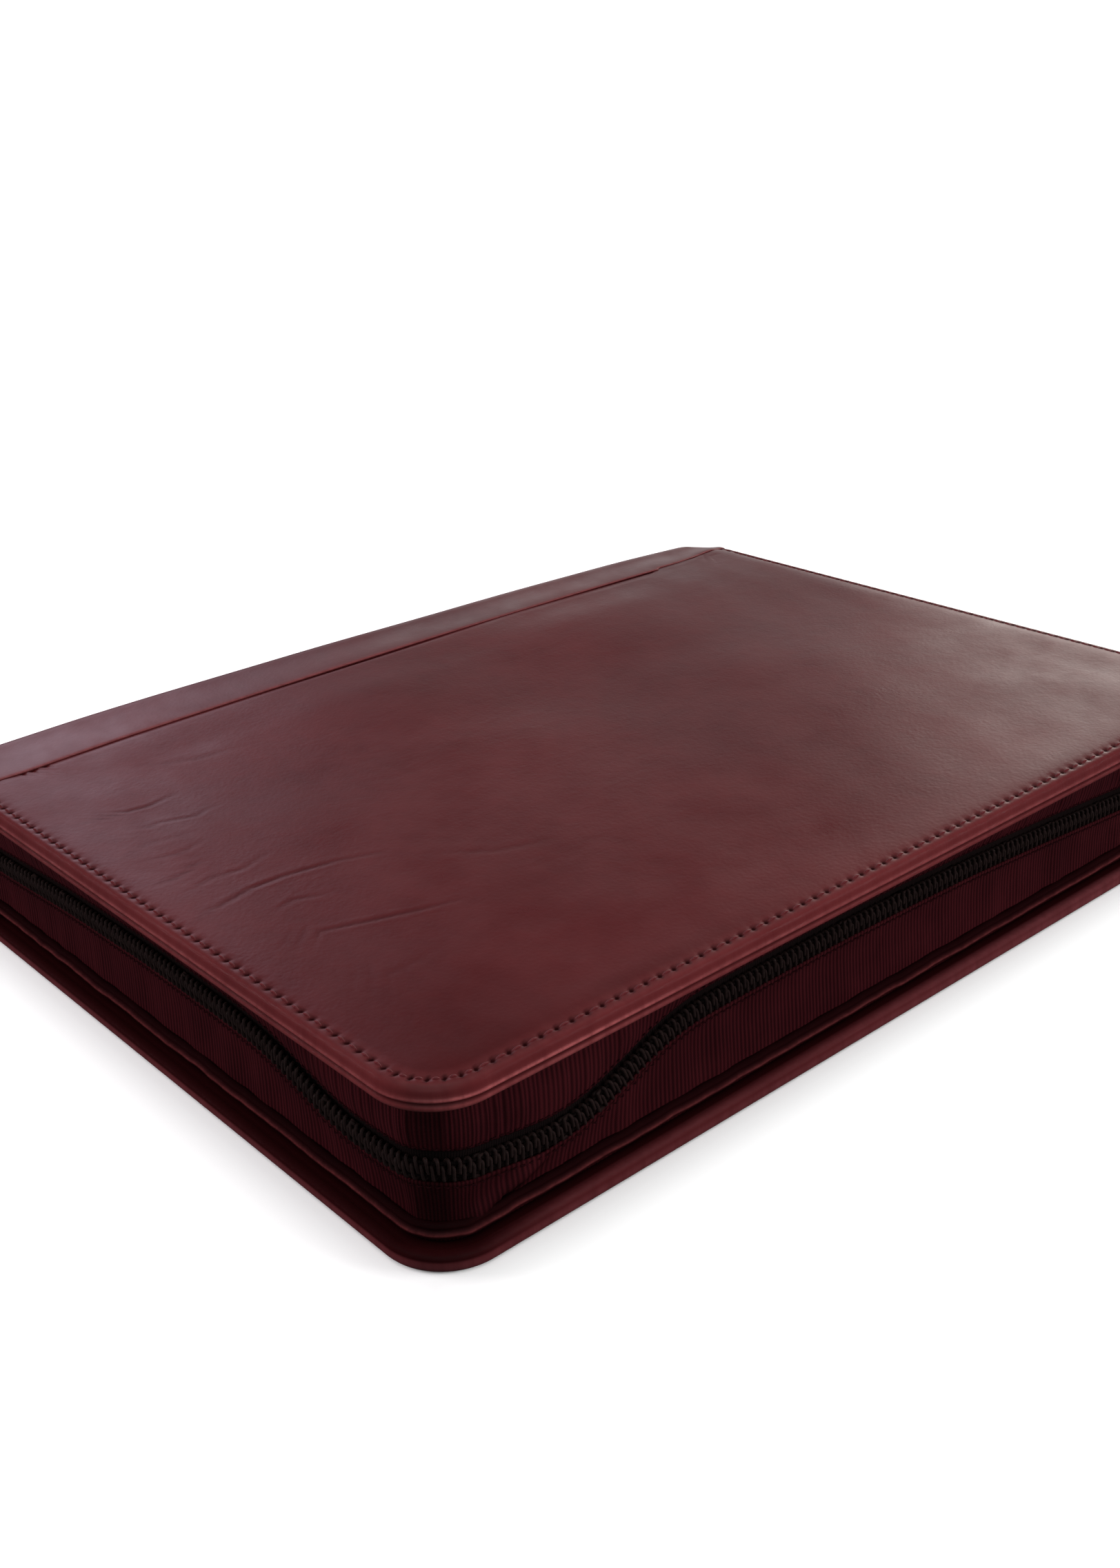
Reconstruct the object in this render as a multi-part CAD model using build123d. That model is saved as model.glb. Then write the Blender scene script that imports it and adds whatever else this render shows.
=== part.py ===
from build123d import *
import os

# Zip-round portfolio case for A4 sheets, closed and lying on its back cover.
# Frame, in millimetres: origin at the bottom centre, +X from the spine to the fore edge,
# +Y along the spine, +Z up through the closed case.

# Driving dimensions
CASE_LENGTH = 345.0
CASE_WIDTH = 262.0
CASE_THICKNESS = 50.0
CORNER_RADIUS = 17.5
SPINE_END_RADIUS = 14.0
FOLD_RADIUS = 12.0
WRAP_WIDTH = 31.0
SKIN = 1.6
RIM_WIDTH = 7.0
BACK_RIM = 4.6
FRONT_LIP = 7.0
BOARD = 2.2
GUSSET_INSET = 5.5
GUSSET_WALL = 1.2
TAPE_WALL = 0.6
ZIP_LOW = 24.0
ZIP_HIGH = 32.0
RING_PITCH = 80.0
RING_RADIUS = 13.0
RING_WIRE = 2.8

# Derived places
FORE_X = CASE_WIDTH / 2
SPINE_X = -CASE_WIDTH / 2
END_Y = CASE_LENGTH / 2
SEAM_X = SPINE_X + WRAP_WIDTH
FOLD_X = SPINE_X + FOLD_RADIUS
MID_Z = CASE_THICKNESS / 2
LIP_Z = CASE_THICKNESS - FRONT_LIP
BOARD_INSET = RIM_WIDTH + 0.2
BOARD_X = FOLD_X + 3.0
LINING_X = FOLD_X + 2.0
GUSSET_X = SPINE_X + 9.0
CORNER_X = FORE_X - CORNER_RADIUS
CORNER_Y = END_Y - CORNER_RADIUS

# Layers of the spine, counted inwards from its outer face
SPINE_BOARD_X = SPINE_X + SKIN + 0.2
SPINE_BOARD = 2.0
SPINE_LINING_X = SPINE_BOARD_X + SPINE_BOARD
SPINE_LINING = 0.8
SPINE_IN_X = SPINE_LINING_X + SPINE_LINING


def outline(inset):
    """The closed case's plan, drawn in by inset, with large fore-edge corners and smaller spine corners."""
    plan = Rectangle(CASE_WIDTH - 2 * inset, CASE_LENGTH - 2 * inset)
    fore = plan.vertices().filter_by(lambda v: v.X > 0)
    plan = fillet(fore, CORNER_RADIUS - inset)
    spine = plan.vertices().sort_by(Axis.X)[0:2]
    return fillet(spine, SPINE_END_RADIUS - inset)


def block(x0, x1, y0, y1, z0, z1):
    """A box between two corners."""
    centre = ((x0 + x1) / 2, (y0 + y1) / 2, (z0 + z1) / 2)
    return Pos(*centre) * Box(x1 - x0, y1 - y0, z1 - z0)


def slab(inset, z0, z1, x0, x1=FORE_X + 1):
    """A flat sheet with the case's plan, between two heights, from x0 to x1."""
    sheet = Pos(0, 0, z0) * extrude(outline(inset), z1 - z0)
    return sheet & block(x0, x1, -END_Y - 1, END_Y + 1, z0, z1)


def pad(x0, x1, y0, y1, z0, z1, radius):
    """A flat panel with rounded plan corners."""
    plan = RectangleRounded(x1 - x0, y1 - y0, radius)
    return Pos((x0 + x1) / 2, (y0 + y1) / 2, z0) * extrude(plan, z1 - z0)


# ---------------------------------------------------------------- covers


def cover_skin(z_face, z_rim, x0, x1):
    """Cover leather: a face sheet at z_face and a rim round its open edges down or up to z_rim."""
    inside = z_face + SKIN if z_rim > z_face else z_face - SKIN
    low, high = sorted((z_face, z_rim))
    hollow_low, hollow_high = sorted((inside, z_rim))
    whole = slab(0, low, high, x0, x1)
    return whole - slab(RIM_WIDTH, hollow_low, hollow_high, x0 - 1)


def back_cover():
    """Leather, board, lining and spine-wrap flap of the cover that the case lies on."""
    board_top = SKIN + BOARD
    return {
        "back_cover_leather": cover_skin(0, BACK_RIM, SEAM_X, FORE_X),
        "back_wrap_flap": cover_skin(0, BACK_RIM, FOLD_X, SEAM_X),
        "back_cover_board": slab(BOARD_INSET, SKIN, board_top, BOARD_X),
        "back_cover_lining": slab(BOARD_INSET, board_top, BACK_RIM, LINING_X),
    }


def front_cover():
    """Leather with its turned-down lip, wrap flap, foam, board and lining of the upper cover."""
    lining = 1.2
    skin_z = CASE_THICKNESS - SKIN
    board_z = LIP_Z + lining
    foam_z = board_z + BOARD
    return {
        "front_cover_leather": cover_skin(CASE_THICKNESS, LIP_Z, SEAM_X, FORE_X),
        "front_wrap_flap": cover_skin(CASE_THICKNESS, LIP_Z, FOLD_X, SEAM_X),
        "front_cover_foam": slab(BOARD_INSET, foam_z, skin_z, BOARD_X),
        "front_cover_board": slab(BOARD_INSET, board_z, foam_z, BOARD_X),
        "front_cover_lining": slab(BOARD_INSET, LIP_Z, board_z, LINING_X),
    }


# ---------------------------------------------------------------- spine


def spine_profile(inset):
    """Cross-section of the closed case at the spine: a bar with two rounded long edges."""
    width = 2 * FOLD_RADIUS + 10
    bar = Rectangle(width, CASE_THICKNESS - 2 * inset)
    left = bar.vertices().sort_by(Axis.X)[0:2]
    bar = fillet(left, FOLD_RADIUS - inset)
    face = Plane.XZ * Pos(SPINE_X + inset + width / 2, MID_Z) * bar
    return extrude(face, END_Y, both=True)


def spine_shell():
    """The whole wrap as one shell, rounded in section and rounded in plan at its two ends."""
    outer = spine_profile(0) & slab(0, 0, CASE_THICKNESS, SPINE_X - 1)
    inner = spine_profile(SKIN) & slab(SKIN, 0, CASE_THICKNESS, SPINE_X - 1)
    return outer - inner


def spine():
    """Spine leather, the two folds beside it, its board, lining and end patches."""
    shell = spine_shell()
    low = FOLD_RADIUS
    high = CASE_THICKNESS - FOLD_RADIUS
    wide = END_Y + 1
    face = block(SPINE_X - 1, FOLD_X - 2, -wide, wide, low, high)
    back_fold = block(SPINE_X - 1, FOLD_X, -wide, wide, -1, low)
    front_fold = block(SPINE_X - 1, FOLD_X, -wide, wide, high, CASE_THICKNESS + 1)
    board_y = END_Y - SPINE_END_RADIUS - 3
    board = block(SPINE_BOARD_X, SPINE_LINING_X, -board_y, board_y, low + 1, high - 1)
    lining = block(SPINE_LINING_X, SPINE_IN_X, -board_y, board_y, low, high)
    patch_y = END_Y - GUSSET_INSET
    patch = block(SPINE_IN_X + 0.3, GUSSET_X - 0.6, patch_y - GUSSET_WALL, patch_y, low, high)
    bridge = block(SPINE_BOARD_X, SPINE_IN_X + 0.3, board_y + 0.3, patch_y, low, high)
    end = (patch + bridge) & slab(SKIN + 0.2, low, high, SPINE_X)
    patches = Part() + [end, mirror(end, Plane.XZ)]
    return {
        "spine_leather": shell & face,
        "back_fold_leather": shell & back_fold,
        "front_fold_leather": shell & front_fold,
        "spine_board": board,
        "spine_lining": lining,
        "spine_end_patches": patches,
    }


# ---------------------------------------------------------------- gusset and zip

# Height of the zip's centre line along the front short side (by x) and the fore edge (by y)
RISE_END = 85.0
FRONT_WAVE = [(GUSSET_X, 29.0), (-50.0, ZIP_HIGH), (50.0, ZIP_HIGH), (CORNER_X, ZIP_LOW)]
FORE_WAVE = [(-CORNER_Y, ZIP_LOW), (-RISE_END, ZIP_HIGH), (RISE_END, ZIP_HIGH), (CORNER_Y, ZIP_LOW)]
BACK_WAVE = [(GUSSET_X, ZIP_LOW), (CORNER_X, ZIP_LOW)]


def stretch(a, b):
    """One stretch of a wall's edge: straight where it is level, S-shaped where it climbs or falls."""
    if a[1] == b[1]:
        return Line(a, b)
    middle = (a[0] + b[0]) / 2
    return Bezier(a, (middle, a[1]), (middle, b[1]), b)


def edge_line(wave, level):
    """A wall's upper or lower edge: flat at a height, or ("zip", shift) beside the zip's centre line."""
    if isinstance(level, tuple):
        points = [(s, z + level[1]) for s, z in wave]
        return [stretch(a, b) for a, b in zip(points, points[1:])]
    return [Line((wave[0][0], level), (wave[-1][0], level))]


def wall_face(wave, low, high):
    """Side view of a straight stretch of wall."""
    bottom = edge_line(wave, low)
    top = edge_line(wave, high)
    ends = [Line(bottom[-1] @ 1, top[-1] @ 1), Line(top[0] @ 0, bottom[0] @ 0)]
    return make_face(bottom + top + ends)


def corner_wall(inset, wall, low, high, side):
    """Quarter-round wall at a fore-edge corner; side is -1 in front and +1 at the back."""
    bottom = ZIP_LOW + low[1] if isinstance(low, tuple) else low
    top = ZIP_LOW + high[1] if isinstance(high, tuple) else high
    outer = CORNER_RADIUS - inset
    ring = Circle(outer) - Circle(outer - wall)
    quarter = ring & Pos(outer / 2, side * outer / 2) * Rectangle(outer, outer)
    return Pos(CORNER_X, side * CORNER_Y, bottom) * extrude(quarter, top - bottom)


def u_wall(inset, wall, low, high):
    """A wall round the three open sides, its outer face inset from the case's plan."""
    front = Plane(origin=(0, -END_Y + inset, 0), x_dir=(1, 0, 0), z_dir=(0, -1, 0))
    fore = Plane(origin=(FORE_X - inset, 0, 0), x_dir=(0, 1, 0), z_dir=(1, 0, 0))
    back = Plane(origin=(0, END_Y - inset, 0), x_dir=(1, 0, 0), z_dir=(0, -1, 0))
    pieces = [
        extrude(front * wall_face(FRONT_WAVE, low, high), -wall),
        corner_wall(inset, wall, low, high, -1),
        extrude(fore * wall_face(FORE_WAVE, low, high), -wall),
        corner_wall(inset, wall, low, high, 1),
        extrude(back * wall_face(BACK_WAVE, low, high), wall),
    ]
    whole = pieces[0]
    for piece in pieces[1:]:
        whole = whole + piece
    return whole


COIL_NEAR = 0.6
COIL_FAR = 3.7
GUSSET_NEAR = 4.2
TAPE_NEAR = 0.8
TAPE_FAR = 9.8
COIL_DEPTH = 1.9
WELT_DEPTH = 1.5
WELT_TOP = 9.5
TAPE_INSET = GUSSET_INSET + GUSSET_WALL
COIL_INSET = TAPE_INSET - COIL_DEPTH


def gussets():
    """Fabric walls, welt, zip tapes and coils, below and above the zip's centre line."""
    return {
        "lower_gusset": u_wall(GUSSET_INSET, GUSSET_WALL, BACK_RIM, ("zip", -GUSSET_NEAR)),
        "upper_gusset": u_wall(GUSSET_INSET, GUSSET_WALL, ("zip", GUSSET_NEAR), LIP_Z),
        "lower_welt": u_wall(GUSSET_INSET - WELT_DEPTH, WELT_DEPTH, BACK_RIM, WELT_TOP),
        "lower_zip_tape": u_wall(TAPE_INSET, TAPE_WALL, ("zip", -TAPE_FAR), ("zip", -TAPE_NEAR)),
        "upper_zip_tape": u_wall(TAPE_INSET, TAPE_WALL, ("zip", TAPE_NEAR), ("zip", TAPE_FAR)),
        "lower_zip_coil": u_wall(COIL_INSET, COIL_DEPTH, ("zip", -COIL_FAR), ("zip", -COIL_NEAR)),
        "upper_zip_coil": u_wall(COIL_INSET, COIL_DEPTH, ("zip", COIL_NEAR), ("zip", COIL_FAR)),
    }


SLIDER_LENGTH = 13.0
SLIDER_HEIGHT = 9.0
SLIDER_ROUND = 2.5
POST_HALF = 1.5
POST_RISE = 0.3
SLIDER_X = GUSSET_X + 10.0
PLATE = 1.4
SLIDER_OUT_Y = END_Y - COIL_INSET + 0.4
SLIDER_IN_Y = END_Y - TAPE_INSET - TAPE_WALL - 0.4
BRIDGE_RISE = 2.2
BRIDGE_HALF = 4.5
BRIDGE_WALL = 1.2
BRIDGE_TUNNEL = 1.5
PULL_PIN_Y = SLIDER_OUT_Y + PLATE + 0.9
PULL_LENGTH = 30.0
PULL_WIDTH = 8.0
PULL_THICKNESS = 1.2
PULL_ROUND = 3.0
PULL_NECK = 7.0
PIN_RADIUS = 0.55
EYE_THICKNESS = 0.9


def slider_plate(y0):
    """One of the slider's two plates with rounded corners, standing in the plane of the zip."""
    plan = RectangleRounded(SLIDER_LENGTH, SLIDER_HEIGHT, SLIDER_ROUND)
    face = Plane(origin=(SLIDER_X, y0, ZIP_LOW), x_dir=(1, 0, 0), z_dir=(0, 1, 0)) * plan
    return extrude(face, PLATE)


def zip_slider():
    """Two plates each side of the zip, joined by a thin post, with a bridge that holds the pull."""
    outer = slider_plate(SLIDER_OUT_Y)
    inner = slider_plate(SLIDER_IN_Y - PLATE)
    x0, x1 = SLIDER_X - POST_HALF, SLIDER_X + POST_HALF
    post = block(x0, x1, SLIDER_IN_Y, SLIDER_OUT_Y, ZIP_LOW - POST_RISE, ZIP_LOW + POST_RISE)
    top = SLIDER_OUT_Y + PLATE
    x0, x1 = SLIDER_X - BRIDGE_HALF, SLIDER_X + BRIDGE_HALF
    bridge = block(x0, x1, top, top + BRIDGE_RISE, ZIP_LOW - 1, ZIP_LOW + 1)
    tunnel = block(x0 + BRIDGE_WALL, x1 - BRIDGE_WALL, top, top + BRIDGE_TUNNEL, ZIP_LOW - 2, ZIP_LOW + 2)
    return outer + inner + post + (bridge - tunnel)


def zip_pull():
    """A pin through the bridge, two eyes beside it and a long flat pull."""
    pin = Pos(SLIDER_X, PULL_PIN_Y, ZIP_LOW) * Cylinder(PIN_RADIUS, 5.0)
    eyes = []
    for z in (ZIP_LOW - 2.4, ZIP_LOW + 1.5):
        y0, y1 = PULL_PIN_Y - 0.5, PULL_PIN_Y + 0.5
        eyes.append(block(SLIDER_X - 0.5, SLIDER_X + PULL_NECK + 0.5, y0, y1, z, z + EYE_THICKNESS))
    tab = RectangleRounded(PULL_LENGTH, PULL_WIDTH, PULL_ROUND)
    centre = (SLIDER_X + PULL_NECK + PULL_LENGTH / 2, PULL_PIN_Y - PULL_THICKNESS / 2, ZIP_LOW)
    tab = extrude(Plane(origin=centre, x_dir=(1, 0, 0), z_dir=(0, 1, 0)) * tab, PULL_THICKNESS)
    return pin + eyes[0] + eyes[1] + tab


def zip_ends():
    """Leather tabs that close off the zip's two ends beside the spine."""
    depth = 1.0
    tab = block(GUSSET_X + 0.2, GUSSET_X + 9, 0, depth, 0, 9)
    out = GUSSET_INSET - depth
    start_z = FRONT_WAVE[0][1]
    return {
        "zip_start_tab": Pos(0, -END_Y + out, start_z - GUSSET_NEAR - 9.2) * tab,
        "zip_end_tab": Pos(0, END_Y - out - depth, ZIP_LOW - GUSSET_NEAR - 9.2) * tab,
    }


# ---------------------------------------------------------------- ring mechanism

RING_CENTRE_X = SPINE_IN_X + 13.5
PLATE_LOW_X = SPINE_IN_X + 0.6
HINGE_PLATE = 0.8
PLATE_TOP_X = PLATE_LOW_X + HINGE_PLATE
HOUSING_HALF = 14.0
HOUSING_RISE = 5.3
HOUSING_SIDE = 3.0
HOUSING_WALL = 1.0
MECH_HALF = 145.0
PIVOT_OFFSET = 12.6
SLOT_NEAR = 3.0
SLOT_FAR = 12.9
RING_YS = [RING_PITCH * (i - 1.5) for i in range(4)]


def housing_section(rise, side, half):
    """Arched section of the housing, as height above the spine lining against distance from its middle."""
    foot = Line((0, -half), (side, -half))
    arch = ThreePointArc((side, -half), (rise, 0), (side, half))
    rest = Polyline((side, half), (0, half), (0, -half))
    return make_face([foot, arch, rest])


def ring_housing():
    """Long arched cover plate, open at its ends, with a slot for each half ring and two rivet holes."""
    place = Plane(origin=(SPINE_IN_X, 0, MID_Z), x_dir=(1, 0, 0), z_dir=(0, -1, 0))
    outer = housing_section(HOUSING_RISE, HOUSING_SIDE, HOUSING_HALF)
    inner = housing_section(
        HOUSING_RISE - HOUSING_WALL,
        HOUSING_SIDE - HOUSING_WALL,
        HOUSING_HALF - HOUSING_WALL,
    )
    shell = extrude(place * (outer - inner), MECH_HALF, both=True)
    top = SPINE_IN_X + HOUSING_RISE + 1
    for y in RING_YS:
        for side in (-1, 1):
            w0, w1 = sorted((side * SLOT_NEAR, side * SLOT_FAR))
            shell = shell - block(SPINE_IN_X + 1.5, top, y - 2, y + 2, MID_Z + w0, MID_Z + w1)
    for y in (-RING_PITCH, RING_PITCH):
        shell = shell - Pos(top - 2, y, MID_Z) * Rot(0, 90, 0) * Cylinder(1.7, 8)
    return shell


def ring_rivets():
    """Two posts that fasten the housing to the spine lining between the two hinge plates."""
    rise = HOUSING_RISE
    post = Pos(rise / 2, 0, 0) * Rot(0, 90, 0) * Cylinder(1.5, rise)
    head = Pos(rise + 0.4, 0, 0) * Rot(0, 90, 0) * Cylinder(3.0, 0.8)
    rivet = post + head
    return Part() + [Pos(SPINE_IN_X, y, MID_Z) * rivet for y in (-RING_PITCH, RING_PITCH)]


def hinge_plate(side):
    """One of the two long plates under the housing that carry the half rings."""
    w0, w1 = sorted((side * 0.2, side * PIVOT_OFFSET))
    length = MECH_HALF - 1
    plate = block(PLATE_LOW_X, PLATE_TOP_X, -length, length, MID_Z + w0, MID_Z + w1)
    for y in (-RING_PITCH, RING_PITCH):
        plate = plate - Pos(PLATE_LOW_X, y, MID_Z) * Rot(0, 90, 0) * Cylinder(2.4, 4)
    return plate


def half_rings(side):
    """Four bent wires, each from its hinge plate to the ring's crown, just clear of the other half."""
    path = Plane.XZ * Pos(RING_CENTRE_X, MID_Z) * CenterArc((0, 0), RING_RADIUS, 0, side * 140)
    start = path @ 0
    section = Plane(origin=start, x_dir=(1, 0, 0), z_dir=(0, 0, side)) * Circle(RING_WIRE / 2)
    wire = sweep(section, path)
    keep = block(PLATE_TOP_X, 0, -5, 5, -10, MID_Z - 0.15)
    if side > 0:
        keep = block(PLATE_TOP_X, 0, -5, 5, MID_Z + 0.15, CASE_THICKNESS)
    wire = wire & keep
    return Part() + [Pos(0, y, 0) * wire for y in RING_YS]


LEVER_Y = MECH_HALF + 2.5
LEVER_PIVOT_X = SPINE_IN_X + 2.0
LEVER_REACH = 13.0
LEVER_TURN = 48
LEVER_HEIGHT = 12
EAR_OFFSET = 7.4


def ring_lever(side):
    """Bent finger tab at one end of the mechanism; side is -1 in front and +1 at the back."""
    foot = Cylinder(1.2, LEVER_HEIGHT)
    stem = Rot(0, 0, LEVER_TURN) * Pos(LEVER_REACH / 2, 0, 0) * Box(LEVER_REACH, 1.2, LEVER_HEIGHT)
    tip = Rot(0, 0, LEVER_TURN) * Pos(LEVER_REACH, 0, 0) * Cylinder(1.1, LEVER_HEIGHT)
    lever = foot + stem + tip
    if side < 0:
        lever = mirror(lever, Plane.XZ)
    return Pos(LEVER_PIVOT_X, side * LEVER_Y, MID_Z) * lever


def lever_brackets():
    """Small posts on the spine lining that carry the levers' pivots, one at each end of each lever."""
    ears = []
    for side in (-1, 1):
        for w in (-EAR_OFFSET, EAR_OFFSET):
            ear = block(-2, 3.4, -2, 2, w - 1, w + 1)
            ears.append(Pos(LEVER_PIVOT_X, side * LEVER_Y, MID_Z) * ear)
    return Part() + ears


def ring_mechanism():
    """All pieces of the four-ring mechanism on the spine."""
    return {
        "ring_housing": ring_housing(),
        "ring_rivets": ring_rivets(),
        "lever_brackets": lever_brackets(),
        "hinge_plate_lower": hinge_plate(-1),
        "hinge_plate_upper": hinge_plate(1),
        "half_rings_lower": half_rings(-1),
        "half_rings_upper": half_rings(1),
        "ring_lever_front": ring_lever(-1),
        "ring_lever_back": ring_lever(1),
    }


# ---------------------------------------------------------------- inside fittings

POCKET_END_Y = END_Y - 15
POCKET_RIGHT = FORE_X - 32
PEN_X = FORE_X - 20
PEN_Z = LIP_Z - 7.6
LOOP_RADIUS = 7.4
LOOP_BORE = 6.4
LOOP_LENGTH = 34.0
POCKET = 1.2
POCKET_ROUND = 6
CARD_STEP = 14


def inside_fittings():
    """Pockets sewn on the two linings, card slots and an elastic pen loop."""
    document = pad(-78, POCKET_RIGHT, -POCKET_END_Y, 20, LIP_Z - POCKET, LIP_Z, POCKET_ROUND)
    cards = Part()
    for step in range(3):
        y0 = 40 + step * CARD_STEP
        z0 = LIP_Z - 1.0 - 0.9 * (2 - step)
        cards = cards + block(-60, 40, y0, 125, z0, z0 + 0.9 + 0.1 * (step == 2))
    note_pad = pad(-60, POCKET_RIGHT, -POCKET_END_Y, -20, BACK_RIM, BACK_RIM + POCKET, POCKET_ROUND)
    bore = Cylinder(LOOP_BORE, LOOP_LENGTH + 2)
    loop = Rot(90, 0, 0) * (Cylinder(LOOP_RADIUS, LOOP_LENGTH) - bore)
    half = LOOP_LENGTH / 2
    strap = block(PEN_X - 5, PEN_X + 5, -half, half, PEN_Z + 6.0, LIP_Z)
    strap = strap - Pos(PEN_X, 0, PEN_Z) * Rot(90, 0, 0) * bore
    return {
        "document_pocket": document,
        "card_slots": cards,
        "note_pad_pocket": note_pad,
        "pen_loop": Pos(PEN_X, 0, PEN_Z) * loop + strap,
    }


def all_parts():
    """Every sub-part by its node name."""
    parts = {}
    for group in (back_cover, front_cover, spine, gussets, zip_ends, ring_mechanism, inside_fittings):
        parts.update(group())
    parts["zip_slider"] = zip_slider()
    parts["zip_pull"] = zip_pull()
    return parts


os.makedirs("parts", exist_ok=True)
for name, shape in all_parts().items():
    export_step(shape, f"parts/{name}.step")
    print(name, len(shape.solids()), "solids", round(shape.volume), "mm3")
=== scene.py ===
import math

import bmesh
import bpy
import numpy as np
from mathutils import Matrix, Vector


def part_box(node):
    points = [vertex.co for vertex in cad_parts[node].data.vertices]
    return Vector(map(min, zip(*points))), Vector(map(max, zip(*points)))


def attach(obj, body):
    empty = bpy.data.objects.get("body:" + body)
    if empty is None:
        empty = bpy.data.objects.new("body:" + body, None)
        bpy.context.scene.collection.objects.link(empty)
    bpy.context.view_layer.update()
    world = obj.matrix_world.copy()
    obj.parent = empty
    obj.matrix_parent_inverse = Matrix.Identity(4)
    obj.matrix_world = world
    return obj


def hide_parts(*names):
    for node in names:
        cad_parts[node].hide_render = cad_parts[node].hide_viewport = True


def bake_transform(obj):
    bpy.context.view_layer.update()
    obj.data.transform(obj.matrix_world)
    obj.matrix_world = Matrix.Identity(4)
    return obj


# Zip-round leather portfolio case, closed. Lengths are in millimetres in this script, and
# mesh_object() turns them into metres. Insets are measured inwards from the case's plan outline.
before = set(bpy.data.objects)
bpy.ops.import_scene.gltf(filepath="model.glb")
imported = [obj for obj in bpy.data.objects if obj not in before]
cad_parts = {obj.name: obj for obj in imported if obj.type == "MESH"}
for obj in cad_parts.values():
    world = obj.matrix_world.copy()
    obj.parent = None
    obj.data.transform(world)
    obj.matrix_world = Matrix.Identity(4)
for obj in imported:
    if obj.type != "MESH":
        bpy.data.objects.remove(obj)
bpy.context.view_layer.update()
MM = 0.001


def node_box(name):
    """Lowest and highest corners of a CAD node, in millimetres."""
    low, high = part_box(name)
    return np.array(low) / MM, np.array(high) / MM


front_low, front_high = node_box("front_cover_leather")
spine_low = node_box("spine_leather")[0]
FORE, END, TOP = front_high
SEAM, LIP = front_low[0], front_low[2]
BRIM = node_box("back_cover_leather")[1][2]
SPINE, FOLD = spine_low[0], spine_low[2]
CORNER = 17.5
HIDDEN_END = SPINE + 10
HIDDEN_CORNER = 20.0
CORNER_X, CORNER_Y = FORE - CORNER, END - CORNER
STITCH = 4.6
NEEDLE_EVERY = 4
BORDER = 16.0
INNER = 27.0

# ------------------------------------------------------------------ camera, light and floor

VIEW_AZIMUTH, VIEW_ELEVATION, VIEW_ROLL = (math.radians(a) for a in (48.94, 24.09, -1.68))
VIEW_TARGET = Vector((-0.05478, 0.03013, 0.0))
VIEW_DISTANCE = 0.61536
LENS, SENSOR = 38.417, 36


def add_camera():
    """Three-quarter view from above the fore edge's front corner, rolled a little."""
    level = math.cos(VIEW_ELEVATION)
    forward = Vector((-math.sin(VIEW_AZIMUTH) * level, math.cos(VIEW_AZIMUTH) * level,
                      -math.sin(VIEW_ELEVATION)))
    right = Vector((math.cos(VIEW_AZIMUTH), math.sin(VIEW_AZIMUTH), 0))
    up = right.cross(forward)
    side = right * math.cos(VIEW_ROLL) + up * math.sin(VIEW_ROLL)
    head = up * math.cos(VIEW_ROLL) - right * math.sin(VIEW_ROLL)
    data = bpy.data.cameras.new("camera")
    data.sensor_width, data.lens = SENSOR, LENS
    camera = bpy.data.objects.new("camera", data)
    turn = Matrix((side, head, -forward)).transposed().to_4x4()
    camera.matrix_world = Matrix.Translation(VIEW_TARGET - forward * VIEW_DISTANCE) @ turn
    bpy.context.collection.objects.link(camera)
    bpy.context.scene.camera = camera


LAMPS = [
    # (name, place, target, size, power, colour)
    ("overhead", (0.1, -0.1, 1.6), (0, 0, 0), (2.4, 2.4), 30.0, (1, 1, 1)),
    ("front_fill", (1.3, -1.4, 0.8), (0, 0, 0.02), (1.4, 1.0), 10.0, (1, 1, 1)),
    ("right_side", (1.48, 1.28, 0.42), (0.05, 0, 0.02), (1.0, 0.5), 44.0, (1, 1, 1)),
    ("left_side", (-1.48, -1.28, 0.42), (0, -0.05, 0.02), (1.0, 0.5), 44.0, (1.0, 0.93, 0.97)),
]


def add_lamps():
    """Soft rectangular studio lamps, which the leather doesn't reflect."""
    for name, place, target, size, power, colour in LAMPS:
        data = bpy.data.lights.new(name, "AREA")
        data.shape = "RECTANGLE"
        data.size, data.size_y = size
        data.energy = power
        data.color = colour
        lamp = bpy.data.objects.new(name, data)
        lamp.location = place
        lamp.rotation_euler = (Vector(target) - Vector(place)).to_track_quat("-Z", "Y").to_euler()
        lamp.visible_glossy = False
        bpy.context.collection.objects.link(lamp)


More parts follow.
